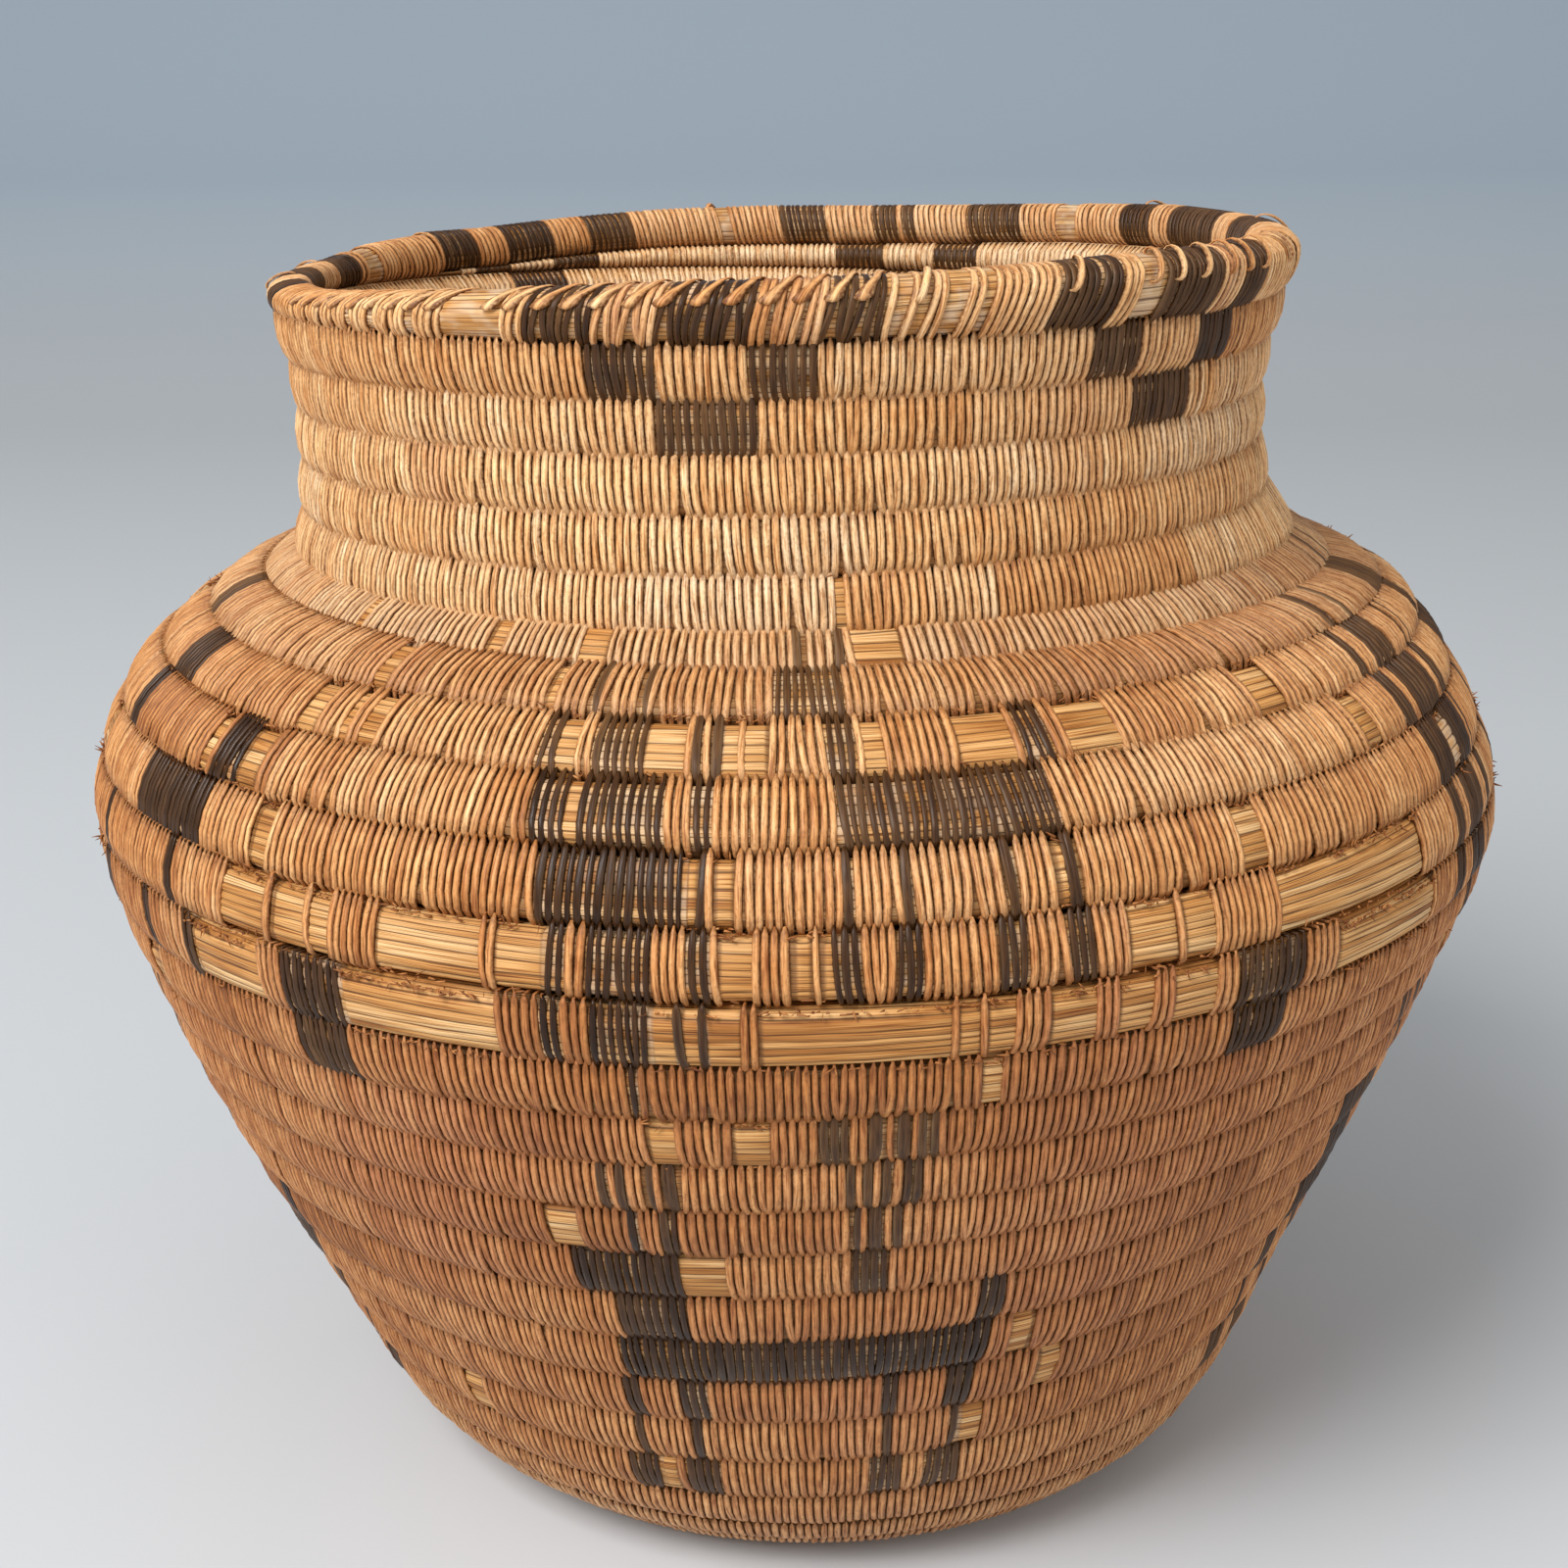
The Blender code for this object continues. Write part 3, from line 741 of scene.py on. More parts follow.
def bands(turn, path, width, lift, lean, foot, looks, map_box):
    """Splints as closed bands: each one's section is carried round its round on the path.

    The path's shares are of half the round's height and thickness. Each station's section stands
    square to the path, by the line from the station before it to the one after it."""
    count, stations, points = len(turn), len(path), len(SPLINT_SECTION)
    up_share, out_share, width_share, along, lean_share = path.T
    half = half_height(turn)[:, None]
    up = up_share * np.maximum(half, SPLINT_WIDTH / 2)
    out = out_share * half_thickness(turn)[:, None] + lift[:, None] * np.sign(out_share)
    at_turn = turn[:, None] + foot[:, None] * np.clip(-lean_share, 0, 1) ** 2
    at_turn = np.clip(at_turn, np.floor(turn)[:, None], np.floor(turn)[:, None] + 1 - TURN_END)
    at_along = along * MM + lean[:, None] * lean_share
    way_up, way_out = (np.roll(a, -1, 1) - np.roll(a, 1, 1) for a in (up, out))
    size = np.hypot(way_up, way_out)
    side = SPLINT_SECTION[:, 0] * (width_share * SPLINT_WIDTH / 2)[:, None] * width[:, None, None]
    inner = (out_share < 0)[:, None]
    crown = SPLINT_SECTION[:, 1] * SPLINT_THICKNESS * (0.5 + 0.5 * width_share)[:, None]
    crown = crown * np.where(inner, INNER_FLATNESS, 1.0)
    at_up = up[..., None] - crown * (way_out / size)[..., None]
    at_out = out[..., None] + crown * (way_up / size)[..., None]
    co = place(at_turn[..., None] + 0 * at_up, at_up, at_out, side + at_along[..., None])
    quads, corners = grid_quads(stations, points, True, True)
    base = np.arange(count)[:, None, None] * stations * points
    walked = np.append(0.0, np.cumsum(np.hypot(*np.diff(path[:, :2], axis=0).T))) * COIL_THICKNESS / 2 / MM
    # How far a place lies into its seam, where the willow is darkened by dirt and painted shade
    in_seam = np.abs(up_share) if path is SEWN_PATH else -up_share
    ends = np.clip((in_seam - SEAM_START) / SEAM_REACH, 0, 1)
    even = np.ones_like(side)
    light, rust, dust, fade, number = (look[:, None, None] * even for look in looks)
    # Painted light on the splints' inner face, and painted shade on the rim's inner face
    light = light + inner * (INNER_PAINTED_LIGHT if path is SEWN_PATH else INNER_RIM_PAINTED_SHADE)
    return {
        "co": co.reshape(-1, 3),
        "faces": (quads[None] + base).reshape(-1, 4)[:, ::-1],
        "map": cells(corners, (stations, points), count, map_box)[:, ::-1],
        "place": stacked(walked[:, None], side * np.where(inner, INNER_EDGE, 1) / MM, number),
        "look": stacked(light, rust + INNER_RUST * inner, dust),
        # The wear's first value is that darkening by dirt and painted seam shade
        "wear": stacked(ends[:, None], fade, 0.0),
    }


def looks_of(chosen):
    """The chosen splints' looks, in the order that the bands take them."""
    return [STITCHES[key][chosen] for key in ("light", "rust", "dust", "fade", "number")]


def splints(chosen, map_box):
    """The chosen splints. The foot leans to the gap in the round below that it is tucked into."""
    turn, width, lift, lean = (STITCHES[key][chosen] for key in ("turn", "width", "lift", "lean"))
    path = RIM_PATH if len(chosen) and turn[0] >= TURNS - 1 else SEWN_PATH
    return bands(turn, path, width, lift, lean, tucked(turn) - turn, looks_of(chosen), map_box)


def in_box(map_box, across, down):
    """Places in a box of the bake's map, by how far across and down the box they lie, from 0 to 1."""
    left, low, right, high = map_box
    places = np.broadcast_arrays(left + (right - left) * across, low + (high - low) * down)
    return np.stack(places, -1)


def cells(corners, size, count, map_box):
    """The bake's map: each of count grids of quads in a cell of its own, in a box of the map."""
    columns = max(1, math.ceil(math.sqrt(count * CELL_SHAPE)))
    rows = max(1, math.ceil(count / columns))
    number = np.arange(count)[:, None, None]
    at = CELL_MARGIN + (1 - 2 * CELL_MARGIN) * corners[None] / np.array(size)
    across = number % columns + at[..., 1]
    down = number // columns + at[..., 0]
    return in_box(map_box, across / columns, down / rows).reshape(-1, corners.shape[1], 2)


def with_ends(values):
    """A tube's values, and after them the first and the last once more for the middles of its ends."""
    return np.vstack([values, values[[0, -1]]])


def end_fans(stations, around):
    """The triangles that close a tube's two ends round their middles, and the places of the ring that
    each triangle has."""
    j = np.arange(around)
    after = (j + 1) % around
    total = stations * around
    first = np.stack([after, j, 0 * j + total], 1)
    last = np.stack([j + total - around, after + total - around, 0 * j + total + 1], 1)
    return first, last, j, after


def bundle(first_turn, around, stations, map_box):
    """A round's bundle: a rounded section of stems carried along the spiral for a turn, with closed ends.

    The section is a superellipse, and each stem is a ridge on it, a root of a sine's size. The stems
    are of uneven widths, by a sum of sines that drifts along the round. Under the splints they are
    pressed together, and where the round is bare they swell and part. The wear says where the round is
    bare, how pale it is, and how rubbed."""
    row = TURNS - first_turn
    runs = BARE_RUNS.get(row, []) + DARK_RUNS.get(row, [])
    ends = np.array([round_share(end) for run in runs for end in run])
    ends = ends[:, None] + (-RUN_EDGE, RUN_EDGE)
    share = np.unique(np.clip(np.append(np.linspace(0, 1, stations), ends), 0, 1))
    stations = len(share)
    turn = first_turn + TURN_END + (1 - 2 * TURN_END) * share
    half = half_height(turn)[:, None]
    stems = int(2 * math.pi * COIL_THICKNESS / 2 / STEM_WIDTH)
    phi = np.linspace(-math.pi, math.pi, around, endpoint=False)[None]
    sway = STEM_SWAY * np.sin(2 * math.pi * share + first_turn)
    drift = (first_turn + sway + STEM_DRIFT * share)[:, None]
    uneven = sum(size * np.sin(waves * phi + by * drift) for waves, size, by in STEM_WAVES)
    stem = (phi * stems + uneven + drift) / (2 * math.pi)
    bare = within(turn, BARE_RUNS).astype(float)[:, None]
    rubbed = within(turn, DARK_RUNS).astype(float)[:, None]
    pale = np.maximum(np.where(np.cos(phi) < 0, INNER_PALE, 0.0), DARK_PALE * rubbed)
    if row == 1:
        rubbed, pale = RIM_RUBBED + (1 - RIM_RUBBED) * bare, np.ones_like(pale)
    ridge = np.abs(np.sin(math.pi * stem)) ** RIDGE_POWER
    thin = np.clip(half / THIN_HALF, 0.1, 1.0)
    press = (GROOVE_DEPTH + (BARE_GROOVE_DEPTH - GROOVE_DEPTH) * bare) * (1 - ridge) * thin
    outer = np.clip(3 * np.cos(phi), 0, 1) * (row > 1)
    power = SECTION_POWER + (OUTER_SQUARENESS - BARE_ROUNDING * bare) * outer
    square = (np.abs(np.cos(phi)) ** power + np.abs(np.sin(phi)) ** power) ** (-1 / power)
    filled = half * (BUNDLE_FILL + BARE_FILL * bare) - BUNDLE_GAP * thin
    up = (filled - press) * np.sin(phi) * square
    lift = RIM_LIFT if row == 1 else PALE_LIFT * (pale > PALE_ENOUGH)
    depth = BUNDLE_DEPTH * (1 - bare) * (1 - lift)
    out = (half_thickness(turn)[:, None] - depth - press) * np.cos(phi) * square
    co = place(turn[:, None] + 0 * up, up, out)
    caps = co.mean(1)[[0, -1]]
    quads, corners = grid_quads(stations, around, False, True)
    first, last, j, after = end_fans(stations, around)
    strips = 4
    per = (stations - 1) / strips
    strip = np.minimum(corners[:, :1, 0] // per, strips - 1)
    across = corners[..., 0] / per - strip
    down = (strip + STRIP_MARGIN + (1 - 2 * STRIP_MARGIN) * corners[..., 1] / around) / strips
    disc = np.stack([np.cos(phi[0]), np.sin(phi[0])], -1)
    cap_map = CAP_MAP + CAP_MAP * 0.9 * np.stack([disc[after], disc[j], 0 * disc], 1)
    radius = wall(np.interp(turn, TURN_TABLE, LENGTH_TABLE))[0]
    walked = (share * 2 * math.pi * radius / MM)[:, None]
    looks = [by_row(turn, TONE_AND_SHADE_ROWS), rusty(turn), by_row(turn, DUST_ROWS)]
    return {
        "co": np.vstack([co.reshape(-1, 3), caps]),
        "faces": quads,
        "map": in_box(map_box, across, down),
        "triangles": np.vstack([first, last]),
        "triangle_map": np.vstack([cap_map, cap_map + (2 * CAP_MAP, 0)]),
        "place": with_ends(stacked(walked, stem, first_turn)),
        "look": with_ends(stacked(*(value[:, None] + 0 * up for value in looks))),
        "wear": with_ends(stacked(bare, pale + 0 * up, rubbed)),
    }


def start_wraps(map_box):
    """The knot that the spiral starts from: a rounded snail, wrapped from its middle to the first round.

    Its edge follows the spiral's first turn, and each wrap is a ridge, a root of a sine's size."""
    around, rings = 6 * KNOT_WRAPS, 17
    share = np.arange(around) / around
    edge = np.interp(share, TURN_TABLE, LENGTH_TABLE) + START_RADIUS - KNOT_INSET
    ridge = np.abs(np.sin(math.pi * KNOT_WRAPS * share)) ** KNOT_RIDGE_POWER
    t = np.linspace(0, math.pi, rings)[:, None]
    radius = edge * np.sin(t) ** KNOT_FULLNESS + 0 * share
    hollow = KNOT_HOLLOW * np.exp(-((radius / KNOT_HOLLOW_RADIUS) ** 2))
    height = np.cos(t) * (COIL_THICKNESS / 2 - KNOT_SINK) * (1 - hollow)
    height = height - np.sign(np.cos(t)) * KNOT_GROOVE * (1 - ridge)
    angle = math.radians(START_ANGLE) + 2 * math.pi * share
    co = handmade(radius * np.cos(angle), radius * np.sin(angle), BASE_LEVEL + height)
    co[0], co[-1] = co[0].mean(0), co[-1].mean(0)
    points = np.vstack([co[1:-1].reshape(-1, 3), co[0, :1], co[-1, :1]])
    quads, corners = grid_quads(rings - 2, around, False, True)
    top, bottom, j, _ = end_fans(rings - 2, around)
    ring_map = in_box(map_box, corners[..., 1] / around, (1 + corners[..., 0]) / (rings - 1))
    down = np.array([1, 1, 0]) / (rings - 1)
    top_map = in_box(map_box, np.stack([j + 1, j, j + 0.5], 1) / around, down)
    bottom_map = in_box(map_box, np.stack([j, j + 1, j + 0.5], 1) / around, 1 - down)
    wrap = share * KNOT_WRAPS + 0.5
    number = np.floor(wrap) % KNOT_WRAPS
    across = (wrap - np.floor(wrap) - 0.5) * STITCH_PITCH / MM
    even = np.ones_like(radius[1:-1])
    light, rust, dust = KNOT_LOOK
    return {
        "co": points,
        "faces": quads[:, ::-1],
        "map": ring_map[:, ::-1],
        "triangles": np.vstack([top, bottom]),
        "triangle_map": np.vstack([top_map, bottom_map]),
        "place": with_ends(stacked(radius[1:-1] / MM, across, number)),
        "look": with_ends(stacked(light * even, rust, dust)),
        # The knot has half of a seam end's darkening, dirt and painted shade, all over
        "wear": with_ends(stacked(0.5 * even, 0.0, 0.0)),
    }


def piece(name, parts, slot, *replaced):
    """A mesh object from parts, each with its material: points, faces, the bake's map and attributes."""
    starts = np.append(0, np.cumsum([len(part["co"]) for part, _ in parts]))
    loops, sizes, corners, material = [], [], [], []
    for index, (part, _) in enumerate(parts):
        for faces, at in (("faces", "map"), ("triangles", "triangle_map")):
            if faces in part:
                loops.append((part[faces] + starts[index]).ravel())
                sizes.append(np.full(len(part[faces]), part[faces].shape[1]))
                corners.append(part[at].reshape(-1, 2))
                material.append(np.full(len(part[faces]), index))
    loops, sizes, corners, material = (np.concatenate(a) for a in (loops, sizes, corners, material))
    mesh = bpy.data.meshes.new(name)
    mesh.vertices.add(starts[-1])
    points = np.concatenate([part["co"] for part, _ in parts]).astype(np.float32)
    mesh.vertices.foreach_set("co", points.ravel())
    mesh.loops.add(len(loops))
    mesh.loops.foreach_set("vertex_index", loops.astype(np.int32))
    mesh.polygons.add(len(sizes))
    mesh.polygons.foreach_set("loop_start", np.append(0, np.cumsum(sizes)[:-1]).astype(np.int32))
    mesh.polygons.foreach_set("material_index", material.astype(np.int32))
    mesh.polygons.foreach_set("use_smooth", np.ones(len(sizes), bool))
    mesh.update(calc_edges=True)
    bake_map = mesh.uv_layers.new(name="OFBake")
    bake_map.data.foreach_set("uv", corners.astype(np.float32).ravel())
    for key in ("place", "look", "wear"):
        attribute = mesh.attributes.new(key, "FLOAT_VECTOR", "POINT")
        values = np.concatenate([part[key] for part, _ in parts]).astype(np.float32)
        attribute.data.foreach_set("vector", values.ravel())
    for _, finish in parts:
        mesh.materials.append(finish)
    if mesh.validate(verbose=False):
        print("mended", name)
    obj = bpy.data.objects.new(name, mesh)
    bpy.context.scene.collection.objects.link(obj)
    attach(obj, next(iter(frame["bodies"])))
    if replaced:
        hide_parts(*replaced)
    return obj


MATH, MIX, RAMP, NOISE = "ShaderNodeMath", "ShaderNodeMix", "ShaderNodeValToRGB", "ShaderNodeTexNoise"


def add(tree, kind, inputs=None, out=0, stops=(), **settings):
    """Adds a node with its settings and links, and gives one of its outputs.

    An input is a value, or an output that is linked to it. A ramp's stops are places and hex colours."""
    node = tree.nodes.new(kind)
    for key, value in settings.items():
        setattr(node, key, value)
    for key, value in (inputs or {}).items():
        if isinstance(value, bpy.types.NodeSocket):
            tree.links.new(value, node.inputs[key])
        else:
            node.inputs[key].default_value = value
    for i, (at, code) in enumerate(stops):
        element = node.color_ramp.elements[i] if i < 2 else node.color_ramp.elements.new(at)
        element.position, element.color = at, tint(code)
    return node.outputs[out]


def fresh_material(name, roughness, specular):
    """A material with its node tree and its shader."""
    material = bpy.data.materials.new(name)
    material.use_nodes = True
    tree = material.node_tree
    shader = tree.nodes["Principled BSDF"]
    shader.inputs["Roughness"].default_value = roughness
    shader.inputs["Metallic"].default_value = 0.0
    shader.inputs["Specular IOR Level"].default_value = specular
    return material, tree, shader


def finish(tree, shader, colour, relief, depth):
    """Gives the shader its colour, and its relief in millimetres."""
    tree.links.new(colour, shader.inputs["Base Color"])
    normal = add(tree, "ShaderNodeBump", {"Height": relief, "Strength": 0.6, "Distance": depth * MM})
    tree.links.new(normal, shader.inputs["Normal"])


def attributes(tree):
    """The piece's own place, look and wear, each as three values. The wear also carries the dirt and painted
    shade that darken a place.
    """
    found = []
    for name in ("place", "look", "wear"):
        vector = add(tree, "ShaderNodeAttribute", out=1, attribute_name=name)
        parts = add(tree, "ShaderNodeSeparateXYZ", {"Vector": vector}).node.outputs
        found.append((parts["X"], parts["Y"], parts["Z"]))
    return found


# How far apart in the noise the patterns of two neighbouring splints lie, and of two neighbouring stems
PATTERN_STEP = 7.31
STEM_STEP = 5.3


def streaks(tree, along, across, number, along_scale, across_scale, detail):
    """Noise drawn out along a splint or a stem, with another pattern for each number.

    The scales are how many of its spots go to a millimetre along and across a splint. Across a bundle
    they go by the stem."""
    x = add(tree, MATH, {0: along, 1: along_scale}, operation="MULTIPLY")
    y = add(tree, MATH, {0: across, 1: across_scale}, operation="MULTIPLY")
    z = add(tree, MATH, {0: number, 1: PATTERN_STEP}, operation="MULTIPLY")
    vector = add(tree, "ShaderNodeCombineXYZ", {"X": x, "Y": y, "Z": z})
    return add(tree, NOISE, {"Vector": vector, "Scale": 1.0, "Detail": detail})


def edges(tree, across):
    """How near the edge of its splint a place is: 0 in the middle, and rising by a power to 1."""
    share = add(tree, MATH, {0: across, 1: SPLINT_WIDTH / 2 / MM}, operation="DIVIDE")
    share = add(tree, MATH, {0: share}, operation="ABSOLUTE")
    return add(tree, MATH, {0: share, 1: 2.1}, operation="POWER", use_clamp=True)


def willow():
    """Peeled willow splints, split and scraped by hand: satin gold with fine fibres and a painted highlight
    on their crowns, brown dirt on their edges, dirt and painted seam shade on the ends that go into the
    seams, pink rust in places and grey dust in others."""
    material, tree, shader = fresh_material("willow_splints", 0.52, 0.38)
    (along, across, number), (light, rust, dust), (ends, _, _) = attributes(tree)
    # Fibres 5 mm long and 0.36 mm wide, as coarse as they need to be to show, and blotches of about 2 mm
    fibres = streaks(tree, along, across, number, 0.20, 2.8, 2.0)
    blotch = streaks(tree, along, across, number, 0.35, 0.6, 2.0)
    base = add(tree, MATH, {0: light, 1: 0.25}, operation="SUBTRACT")
    tone = add(tree, MATH, {0: blotch, 1: 0.5, 2: base}, operation="MULTIPLY_ADD")
    colour = add(tree, RAMP, {"Fac": tone}, stops=[
        (0.0, "#8A501C"), (0.3, "#BD7C40"), (0.55, "#DFA76B"), (0.8, "#F4CB96"), (1.0, "#FCE3BC"),
    ])
    patchy = add(tree, MATH, {0: blotch, 1: 0.2}, operation="ADD")
    rust = add(tree, MATH, {0: rust, 1: patchy}, operation="MULTIPLY", use_clamp=True)
    colour = add(tree, MIX, {0: rust, 6: colour, 7: tint("#BC7A53")}, 2, data_type="RGBA")
    dust = add(tree, MATH, {0: dust, 1: 0.6}, operation="MULTIPLY")
    colour = add(tree, MIX, {0: dust, 6: colour, 7: tint("#B5A288")}, 2, data_type="RGBA")
    streak = add(tree, RAMP, {"Fac": fibres}, stops=[(0.30, "#A98862"), (0.50, "#EFE6DA"), (0.68, "#FFFFFF")])
    colour = add(tree, MIX, {0: 1.0, 6: colour, 7: streak}, 2, data_type="RGBA", blend_type="MULTIPLY")
    # Grime in spots of 0.8 mm, over the splints' edges
    at = add(tree, "ShaderNodeTexCoord", out=3)
    grime = add(tree, NOISE, {"Vector": at, "Scale": 1.3 / MM, "Detail": 2.0})
    grime = add(tree, RAMP, {"Fac": grime}, stops=[(0.38, "#000000"), (0.62, "#FFFFFF")])
    edge = edges(tree, across)
    # Painted highlight: each splint's middle is lightened by adding its own colour to it, fading out towards
    # its edges
    crown = add(tree, MATH, {0: edge, 1: -0.40, 2: 0.30}, operation="MULTIPLY_ADD", use_clamp=True)
    colour = add(tree, MIX, {0: crown, 6: colour, 7: colour}, 2, data_type="RGBA", blend_type="ADD")
    # Dark specks 0.8 mm long and 0.36 mm wide
    specks = streaks(tree, along, across, number, 1.2, 2.8, 1.0)
    specks = add(tree, RAMP, {"Fac": specks}, stops=[(0.58, "#000000"), (0.68, "#AAAAAA")])
    colour = add(tree, MIX, {0: specks, 6: colour, 7: tint("#7E4E22")}, 2, data_type="RGBA")
    # Dirt on the splints' edges, and dirt with painted seam shade on the ends that go into the seams, in
    # patches of grime
    painted_seam_shade_and_dirt = add(tree, MATH, {0: ends, 1: 0.75}, operation="MULTIPLY")
    near = add(tree, MATH, {0: edge, 1: painted_seam_shade_and_dirt}, operation="MAXIMUM")
    patches = add(tree, MATH, {0: grime, 1: 0.6, 2: 0.4}, operation="MULTIPLY_ADD")
    near = add(tree, MATH, {0: near, 1: patches}, operation="MULTIPLY")
    colour = add(tree, MIX, {0: near, 6: colour, 7: tint("#74431C")}, 2, data_type="RGBA")
    finish(tree, shader, colour, fibres, 0.12)
    return material


def devils_claw():
    """Splints of devil's claw pods: brown-black and glossy on their crowns, with grey-brown dust along
    their edges, some of them faded."""
    material, tree, shader = fresh_material("devils_claw_splints", 0.50, 0.28)
    (along, across, number), _, (_, fade, _) = attributes(tree)
    # Fibres 4 mm long and 0.17 mm wide, and blotches of 2 to 3 mm
    fibres = streaks(tree, along, across, number, 0.25, 6.0, 3.0)
    blotch = streaks(tree, along, across, number, 0.30, 0.5, 2.0)
    base = add(tree, MATH, {0: fade, 1: 0.25}, operation="SUBTRACT")
    tone = add(tree, MATH, {0: blotch, 1: 0.5, 2: base}, operation="MULTIPLY_ADD")
    colour = add(tree, RAMP, {"Fac": tone}, stops=[
        (0.0, "#2F1805"), (0.35, "#4F2F12"), (0.7, "#76502A"), (1.0, "#957046"),
    ])
    streak = add(tree, RAMP, {"Fac": fibres}, stops=[(0.3, "#8F7B67"), (0.7, "#FFFFFF")])
    colour = add(tree, MIX, {0: 1.0, 6: colour, 7: streak}, 2, data_type="RGBA", blend_type="MULTIPLY")
    dusty = add(tree, MATH, {0: edges(tree, across), 1: fade}, operation="MULTIPLY")
    colour = add(tree, MIX, {0: dusty, 6: colour, 7: tint("#8D7458")}, 2, data_type="RGBA")
    roughness = add(tree, MATH, {0: fade, 1: 0.5, 2: 0.22}, operation="MULTIPLY_ADD")
    tree.links.new(roughness, shader.inputs["Roughness"])
    finish(tree, shader, colour, fibres, 0.12)
    return material


def stem_bundle():
    """Split stems laid side by side: dull straw, each its own tone, with dark lines of uneven weight
    between them. Under the willow they are brown with dirt and painted shade, but pale on the rim and
    between the dark splints, with creamy places where they are rubbed."""
    material, tree, shader = fresh_material("stem_bundle", 0.55, 0.30)
    (along, stem, turn), (_, rust, _), (bare, pale, rubbed) = attributes(tree)
    single = add(tree, MATH, {0: stem}, operation="FLOOR")
    single = add(tree, MATH, {0: single, 1: STEM_STEP}, operation="MULTIPLY")
    # Fibres 17 mm long and a tenth of a stem wide, and each stem's own tone, which changes every 50 mm
    fibres = streaks(tree, along, stem, turn, 0.06, 10.0, 3.0)
    tone = streaks(tree, along, single, turn, 0.02, 1.0, 1.0)
    colour = add(tree, RAMP, {"Fac": tone}, stops=[
        (0.30, "#B27A3E"), (0.43, "#D69F5D"), (0.57, "#E8B97C"), (0.70, "#F4CF9A"),
    ])
    rust = add(tree, MATH, {0: rust, 1: 0.2}, operation="MULTIPLY")
    colour = add(tree, MIX, {0: rust, 6: colour, 7: tint("#B87A46")}, 2, data_type="RGBA")
    streak = add(tree, RAMP, {"Fac": fibres}, stops=[(0.32, "#8F673E"), (0.45, "#DFC9AD"), (0.62, "#FFFFFF")])
    colour = add(tree, MIX, {0: 1.0, 6: colour, 7: streak}, 2, data_type="RGBA", blend_type="MULTIPLY")
    # Rubbed places 4 mm long and two or three stems wide
    worn = streaks(tree, along, stem, turn, 0.25, 0.4, 1.0)
    worn = add(tree, RAMP, {"Fac": worn}, stops=[(0.40, "#000000"), (0.64, "#A8A8A8")])
    worn = add(tree, MATH, {0: worn, 1: rubbed}, operation="MULTIPLY")
    colour = add(tree, MIX, {0: worn, 6: colour, 7: tint("#F2E2C8")}, 2, data_type="RGBA")
    # The dark line in each groove, whose weight changes every 11 mm
    side = add(tree, MATH, {0: stem, 1: 0.5}, operation="PINGPONG")
    weight = streaks(tree, along, single, turn, 0.09, 1.0, 2.0)
    weight = add(tree, MATH, {0: weight, 1: 0.36, 2: -0.06}, operation="MULTIPLY_ADD")
    line = add(tree, MATH, {0: side, 1: weight}, operation="DIVIDE", use_clamp=True)
    line = add(tree, MATH, {0: 1.0, 1: line}, operation="SUBTRACT")
    colour = add(tree, MIX, {0: line, 6: colour, 7: tint("#5C3719")}, 2, data_type="RGBA")
    pale = add(tree, MATH, {0: bare, 1: pale}, operation="MAXIMUM")
    # Dirt and painted shade in the gaps between the willow splints, taken off where the bundle is bare or
    # pale
    gap_dirt_and_shade = add(tree, MIX, {0: 0.7, 6: colour, 7: tint("#6B4422")}, 2, data_type="RGBA")
    colour = add(tree, MIX, {0: pale, 6: gap_dirt_and_shade, 7: colour}, 2, data_type="RGBA")
    relief = add(tree, MATH, {0: fibres, 1: line}, operation="SUBTRACT")
    finish(tree, shader, colour, relief, 0.2)
    return material


WILLOW = willow()
DEVILS_CLAW = devils_claw()
STEMS = stem_bundle()


def bundle_mesh(row):
    """How many points a row's bundle has around and along, and its share of the bake's map.

    The rows with the most of their bundle bare have the finest, and the base's the coarsest."""
    if row > TURNS - 10:
        return 20, 60, 0.12
    if row >= 14:
        return 32, 72, 0.12
    bare = sum(high - low for low, high in BARE_RUNS.get(row, []))
    return (108, 90, 0.4) if bare > 100 else (64, 72, 0.2)


def rounds():
    """Each round of the spiral with its bundle and its willow splints, in place of its solid."""
    turn = 0
    round_of = np.floor(STITCHES["turn"])
    for part, count, slot in PARTS:
        for number in range(1, count + 1):
            node = part if count == 1 else f"{part}_{number:02d}"
            around, stations, share = bundle_mesh(TURNS - turn)
            sewn = np.flatnonzero((round_of == turn) & ~STITCHES["dark"] & ~STITCHES["bare"])
            parts = [
                (bundle(turn, around, stations, (0.0, 5 * CAP_MAP, 1.0, share)), STEMS),
                (splints(sewn, (0.0, share + CAP_MAP, 1.0, 1.0)), WILLOW),
            ]
            piece(f"{node}_sewn", parts, slot, node)
            turn += 1


def pattern():
    """The devil's claw splints of each part, which draw the pattern."""
    turn = STITCHES["turn"]
    sewn = STITCHES["dark"] & ~STITCHES["bare"]
    high = TURNS
    for part, count, _ in reversed(PARTS):
        chosen = np.flatnonzero(sewn & (turn >= high - count) & (turn < high))
        high -= count
        if len(chosen):
            dark = [(splints(chosen, (0.0, 0.0, 1.0, 1.0)), DEVILS_CLAW)]
            piece(part.replace("_coil", "_blocks"), dark, "devils_claw_splints")


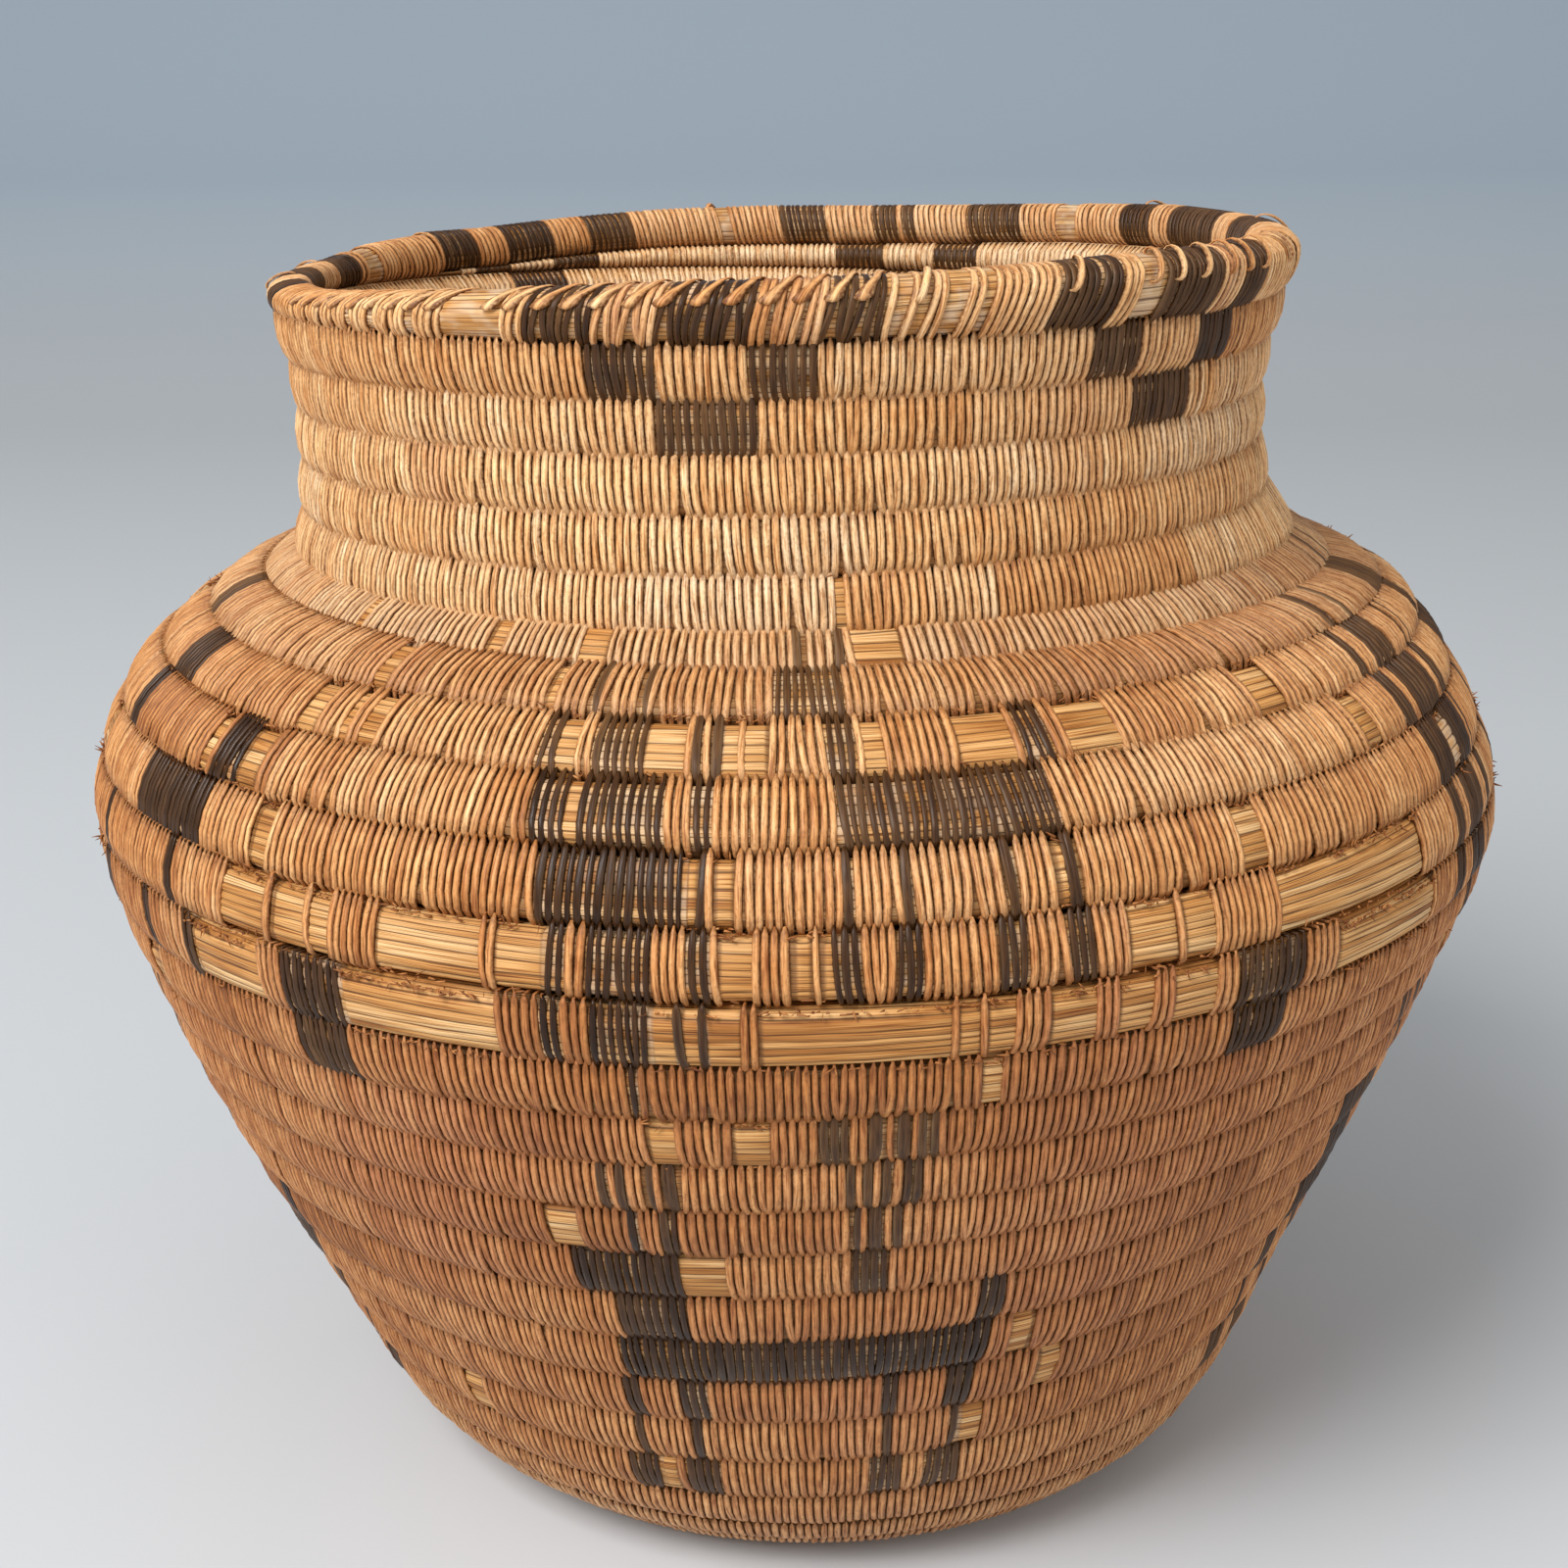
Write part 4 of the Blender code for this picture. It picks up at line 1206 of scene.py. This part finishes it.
def rim_lacing():
    """The light splints that lace the rim: slanting over its top, with short ends where others broke off."""
    rng = np.random.default_rng(TABLE_SEED + 1)
    degrees = np.array(LACING_HEADS + LACING_STUBS)
    count = len(degrees)
    degrees = degrees + rng.uniform(-LACING_STRAY, LACING_STRAY, count)
    turn = TURNS - 1 + round_share(degrees)
    short = np.arange(count) >= len(LACING_HEADS)
    width = np.where(short, rng.uniform(*STUB_WIDTHS, count), rng.uniform(*LACING_WIDTHS, count))
    light, rust = rng.uniform(*LACING_LIGHT, count), rng.uniform(*LACING_RUST, count)
    looks = [light, rust, 0 * turn, 0 * turn, LACING_NUMBER + np.arange(count)]
    lift = LACING_LIFT * MM + rng.normal(0, LACING_UNEVENNESS, count) * MM
    lean = rng.normal(0, np.where(short, STUB_LEAN, LACING_LEAN), count) * MM
    parts = []
    for path, chosen, box in ((LACING_PATH, ~short, (0, 0, 1, 0.7)), (STUB_PATH, short, (0, 0.72, 1, 1))):
        at, wide, lifted, leaning, *picked = (a[chosen] for a in (turn, width, lift, lean, *looks))
        parts.append((bands(at, path, wide, lifted, leaning, 0 * at, picked, box), WILLOW))
    piece("rim_lacing", parts, "rim_stitching")


def slivers():
    """Broken ends of worn splints: thin tapered slips, each a bent spindle of three stations, with four
    sides and closed ends. They bend away from the wall towards their tips."""
    rng = np.random.default_rng(TABLE_SEED + 2)
    turn = STITCHES["turn"]
    worn = turn[STITCHES["bare"] & (turn > SLIVER_START_TURN) & (turn < TURNS - 1)]
    base = rng.choice(worn, SLIVERS) + rng.normal(0, SLIVER_STRAY, SLIVERS)
    top = rng.random(SLIVERS) < SLIVER_TOP_SHARE
    up = np.where(top, 1, -1) * half_height(base) * rng.uniform(*SLIVER_UP, SLIVERS)
    out = half_thickness(base) * rng.uniform(*SLIVER_OUT, SLIVERS)
    length = rng.uniform(*SLIVER_LENGTHS, SLIVERS) * MM
    way = rng.normal(0, 1, (SLIVERS, 3)) * SLIVER_SPREAD + SLIVER_OUTWARD
    way /= np.linalg.norm(way, axis=1)[:, None]
    way = np.stack([way[:, 0], way[:, 1], np.abs(way[:, 2])], 1) * length[:, None]
    station = np.array([0.0, 0.5, 1.0])[:, None]
    thick = SLIVER_HALVES[:, None]
    phi = np.linspace(0, 2 * math.pi, 4, endpoint=False)
    across = way[:, :1, None] * station + 0 * phi
    at_up = (up[:, None, None] + way[:, 1:2, None] * station) + thick * np.sin(phi)
    at_out = (out[:, None, None] + way[:, 2:, None] * station**1.5) + thick * np.cos(phi)
    co = place(base[:, None, None] + 0 * at_up, at_up, at_out, across + 0.5 * thick * np.sin(phi))
    quads, corners = grid_quads(len(station), len(phi), False, True)
    every = np.arange(SLIVERS)[:, None, None] * len(station) * len(phi)
    caps = np.array([[3, 2, 1, 0], [8, 9, 10, 11]])
    cap_corners = np.array([[[0, 3], [0, 2], [0, 1], [0, 0]], [[2, 0], [2, 1], [2, 2], [2, 3]]])
    even = np.ones_like(across)
    # Their lightness: their own brown, darkened further by painted shade
    light = rng.uniform(*SLIVER_TONE_AND_SHADE, SLIVERS)[:, None, None]
    part = {
        "co": co.reshape(-1, 3),
        "faces": (np.vstack([quads[:, ::-1], caps[:, ::-1]])[None] + every).reshape(-1, 4),
        "map": cells(np.concatenate([corners[:, ::-1], cap_corners[:, ::-1]]), (2, 4), SLIVERS, (0, 0, 1, 1)),
        "place": stacked(station * 2, 0.1 * even, np.arange(SLIVERS)[:, None, None]),
        "look": stacked(light * even, 0.0, 0.1),
        # The slivers have half of a seam end's darkening, dirt and painted shade, all over
        "wear": stacked(0.5 * even, 0.0, 0.0),
    }
    piece("broken_ends", [(part, WILLOW)], "belly_stitching")


rounds()
pattern()
rim_lacing()
slivers()
piece("start_knot_sewn", [(start_wraps((0.0, 0.0, 1.0, 1.0)), WILLOW)], "base_stitching", "start_knot")


# The camera, as the photograph has it: its focal length in pixels of the 1600-pixel frame, its
# place, and its pitch down, yaw and roll. The lamps look at a point near the basket's middle.
FRAME_PIXELS = 1600
FOCAL_PIXELS = 2300
SENSOR_WIDTH = 36.0
CAMERA_PLACE = (0.0, -0.5273, 0.3220)
CAMERA_PITCH, CAMERA_YAW, CAMERA_ROLL = (math.radians(a) for a in (17.65, -0.27, -0.33))
LOOKED_AT = (0.0, 0.0, 0.14)


def camera():
    """The camera looks down by its pitch and left by its yaw, and turns about its axis by its roll."""
    data = bpy.data.cameras.new("camera")
    data.sensor_width = SENSOR_WIDTH
    data.lens = FOCAL_PIXELS * SENSOR_WIDTH / FRAME_PIXELS
    data.clip_start, data.clip_end = 0.01, 100
    pitch, yaw, roll = CAMERA_PITCH, CAMERA_YAW, CAMERA_ROLL
    ahead = np.array([math.sin(yaw) * math.cos(pitch), math.cos(yaw) * math.cos(pitch), -math.sin(pitch)])
    level = np.array([math.cos(yaw), -math.sin(yaw), 0.0])
    above = np.cross(level, ahead)
    right = math.cos(roll) * level + math.sin(roll) * above
    top = -math.sin(roll) * level + math.cos(roll) * above
    obj = bpy.data.objects.new("camera", data)
    matrix = np.eye(4)
    matrix[:3] = np.stack([right, top, -ahead, CAMERA_PLACE], 1)
    obj.matrix_world = Matrix(matrix.tolist())
    bpy.context.scene.collection.objects.link(obj)
    bpy.context.scene.camera = obj


def floor():
    """A plain pale floor that runs up behind into a backdrop, which turns blue-grey as it rises."""
    depth = np.array([-3.0, 1.6, 2.0, 2.25, 2.4, 2.5, 2.5])
    rise = np.array([0.0, 0.0, 0.05, 0.18, 0.4, 0.8, 4.0])
    side = np.array([-5.0, 5.0])
    co = stacked(side, depth[:, None], rise[:, None])
    quads, _ = grid_quads(len(depth), len(side))
    mesh = bpy.data.meshes.new("floor")
    mesh.from_pydata(co.tolist(), [], quads.tolist())
    mesh.shade_smooth()
    material, tree, shader = fresh_material("pale_floor", 0.9, 0.3)
    height = add(tree, "ShaderNodeSeparateXYZ", {"Vector": add(tree, "ShaderNodeNewGeometry")}, 2)
    colour = add(tree, RAMP, {"Fac": height}, stops=[(0.0, "#CED2D6"), (0.2, "#AFBECC")])
    tree.links.new(colour, shader.inputs["Base Color"])
    mesh.materials.append(material)
    obj = bpy.data.objects.new("floor", mesh)
    bpy.context.scene.collection.objects.link(obj)


def lamp(name, at, size, power):
    """A soft square white lamp of a size in metres and a power in watts, which looks at the basket."""
    data = bpy.data.lights.new(name, "AREA")
    data.size = size
    data.energy = power
    obj = bpy.data.objects.new(name, data)
    obj.location = at
    obj.rotation_euler = (Vector(LOOKED_AT) - Vector(at)).to_track_quat("-Z", "Y").to_euler()
    bpy.context.scene.collection.objects.link(obj)


def world():
    """An even, faintly warm light from all round."""
    scene = bpy.context.scene
    scene.world = bpy.data.worlds.new("studio")
    scene.world.use_nodes = True
    background = scene.world.node_tree.nodes["Background"]
    background.inputs["Color"].default_value = tint("#F2F0EC")
    background.inputs["Strength"].default_value = 0.55
    scene.view_settings.view_transform = "Standard"


camera()
floor()
world()
lamp("key", (-1.0, -1.2, 1.7), 1.1, 48)
lamp("fill", (1.4, -1.2, 0.9), 1.4, 5)
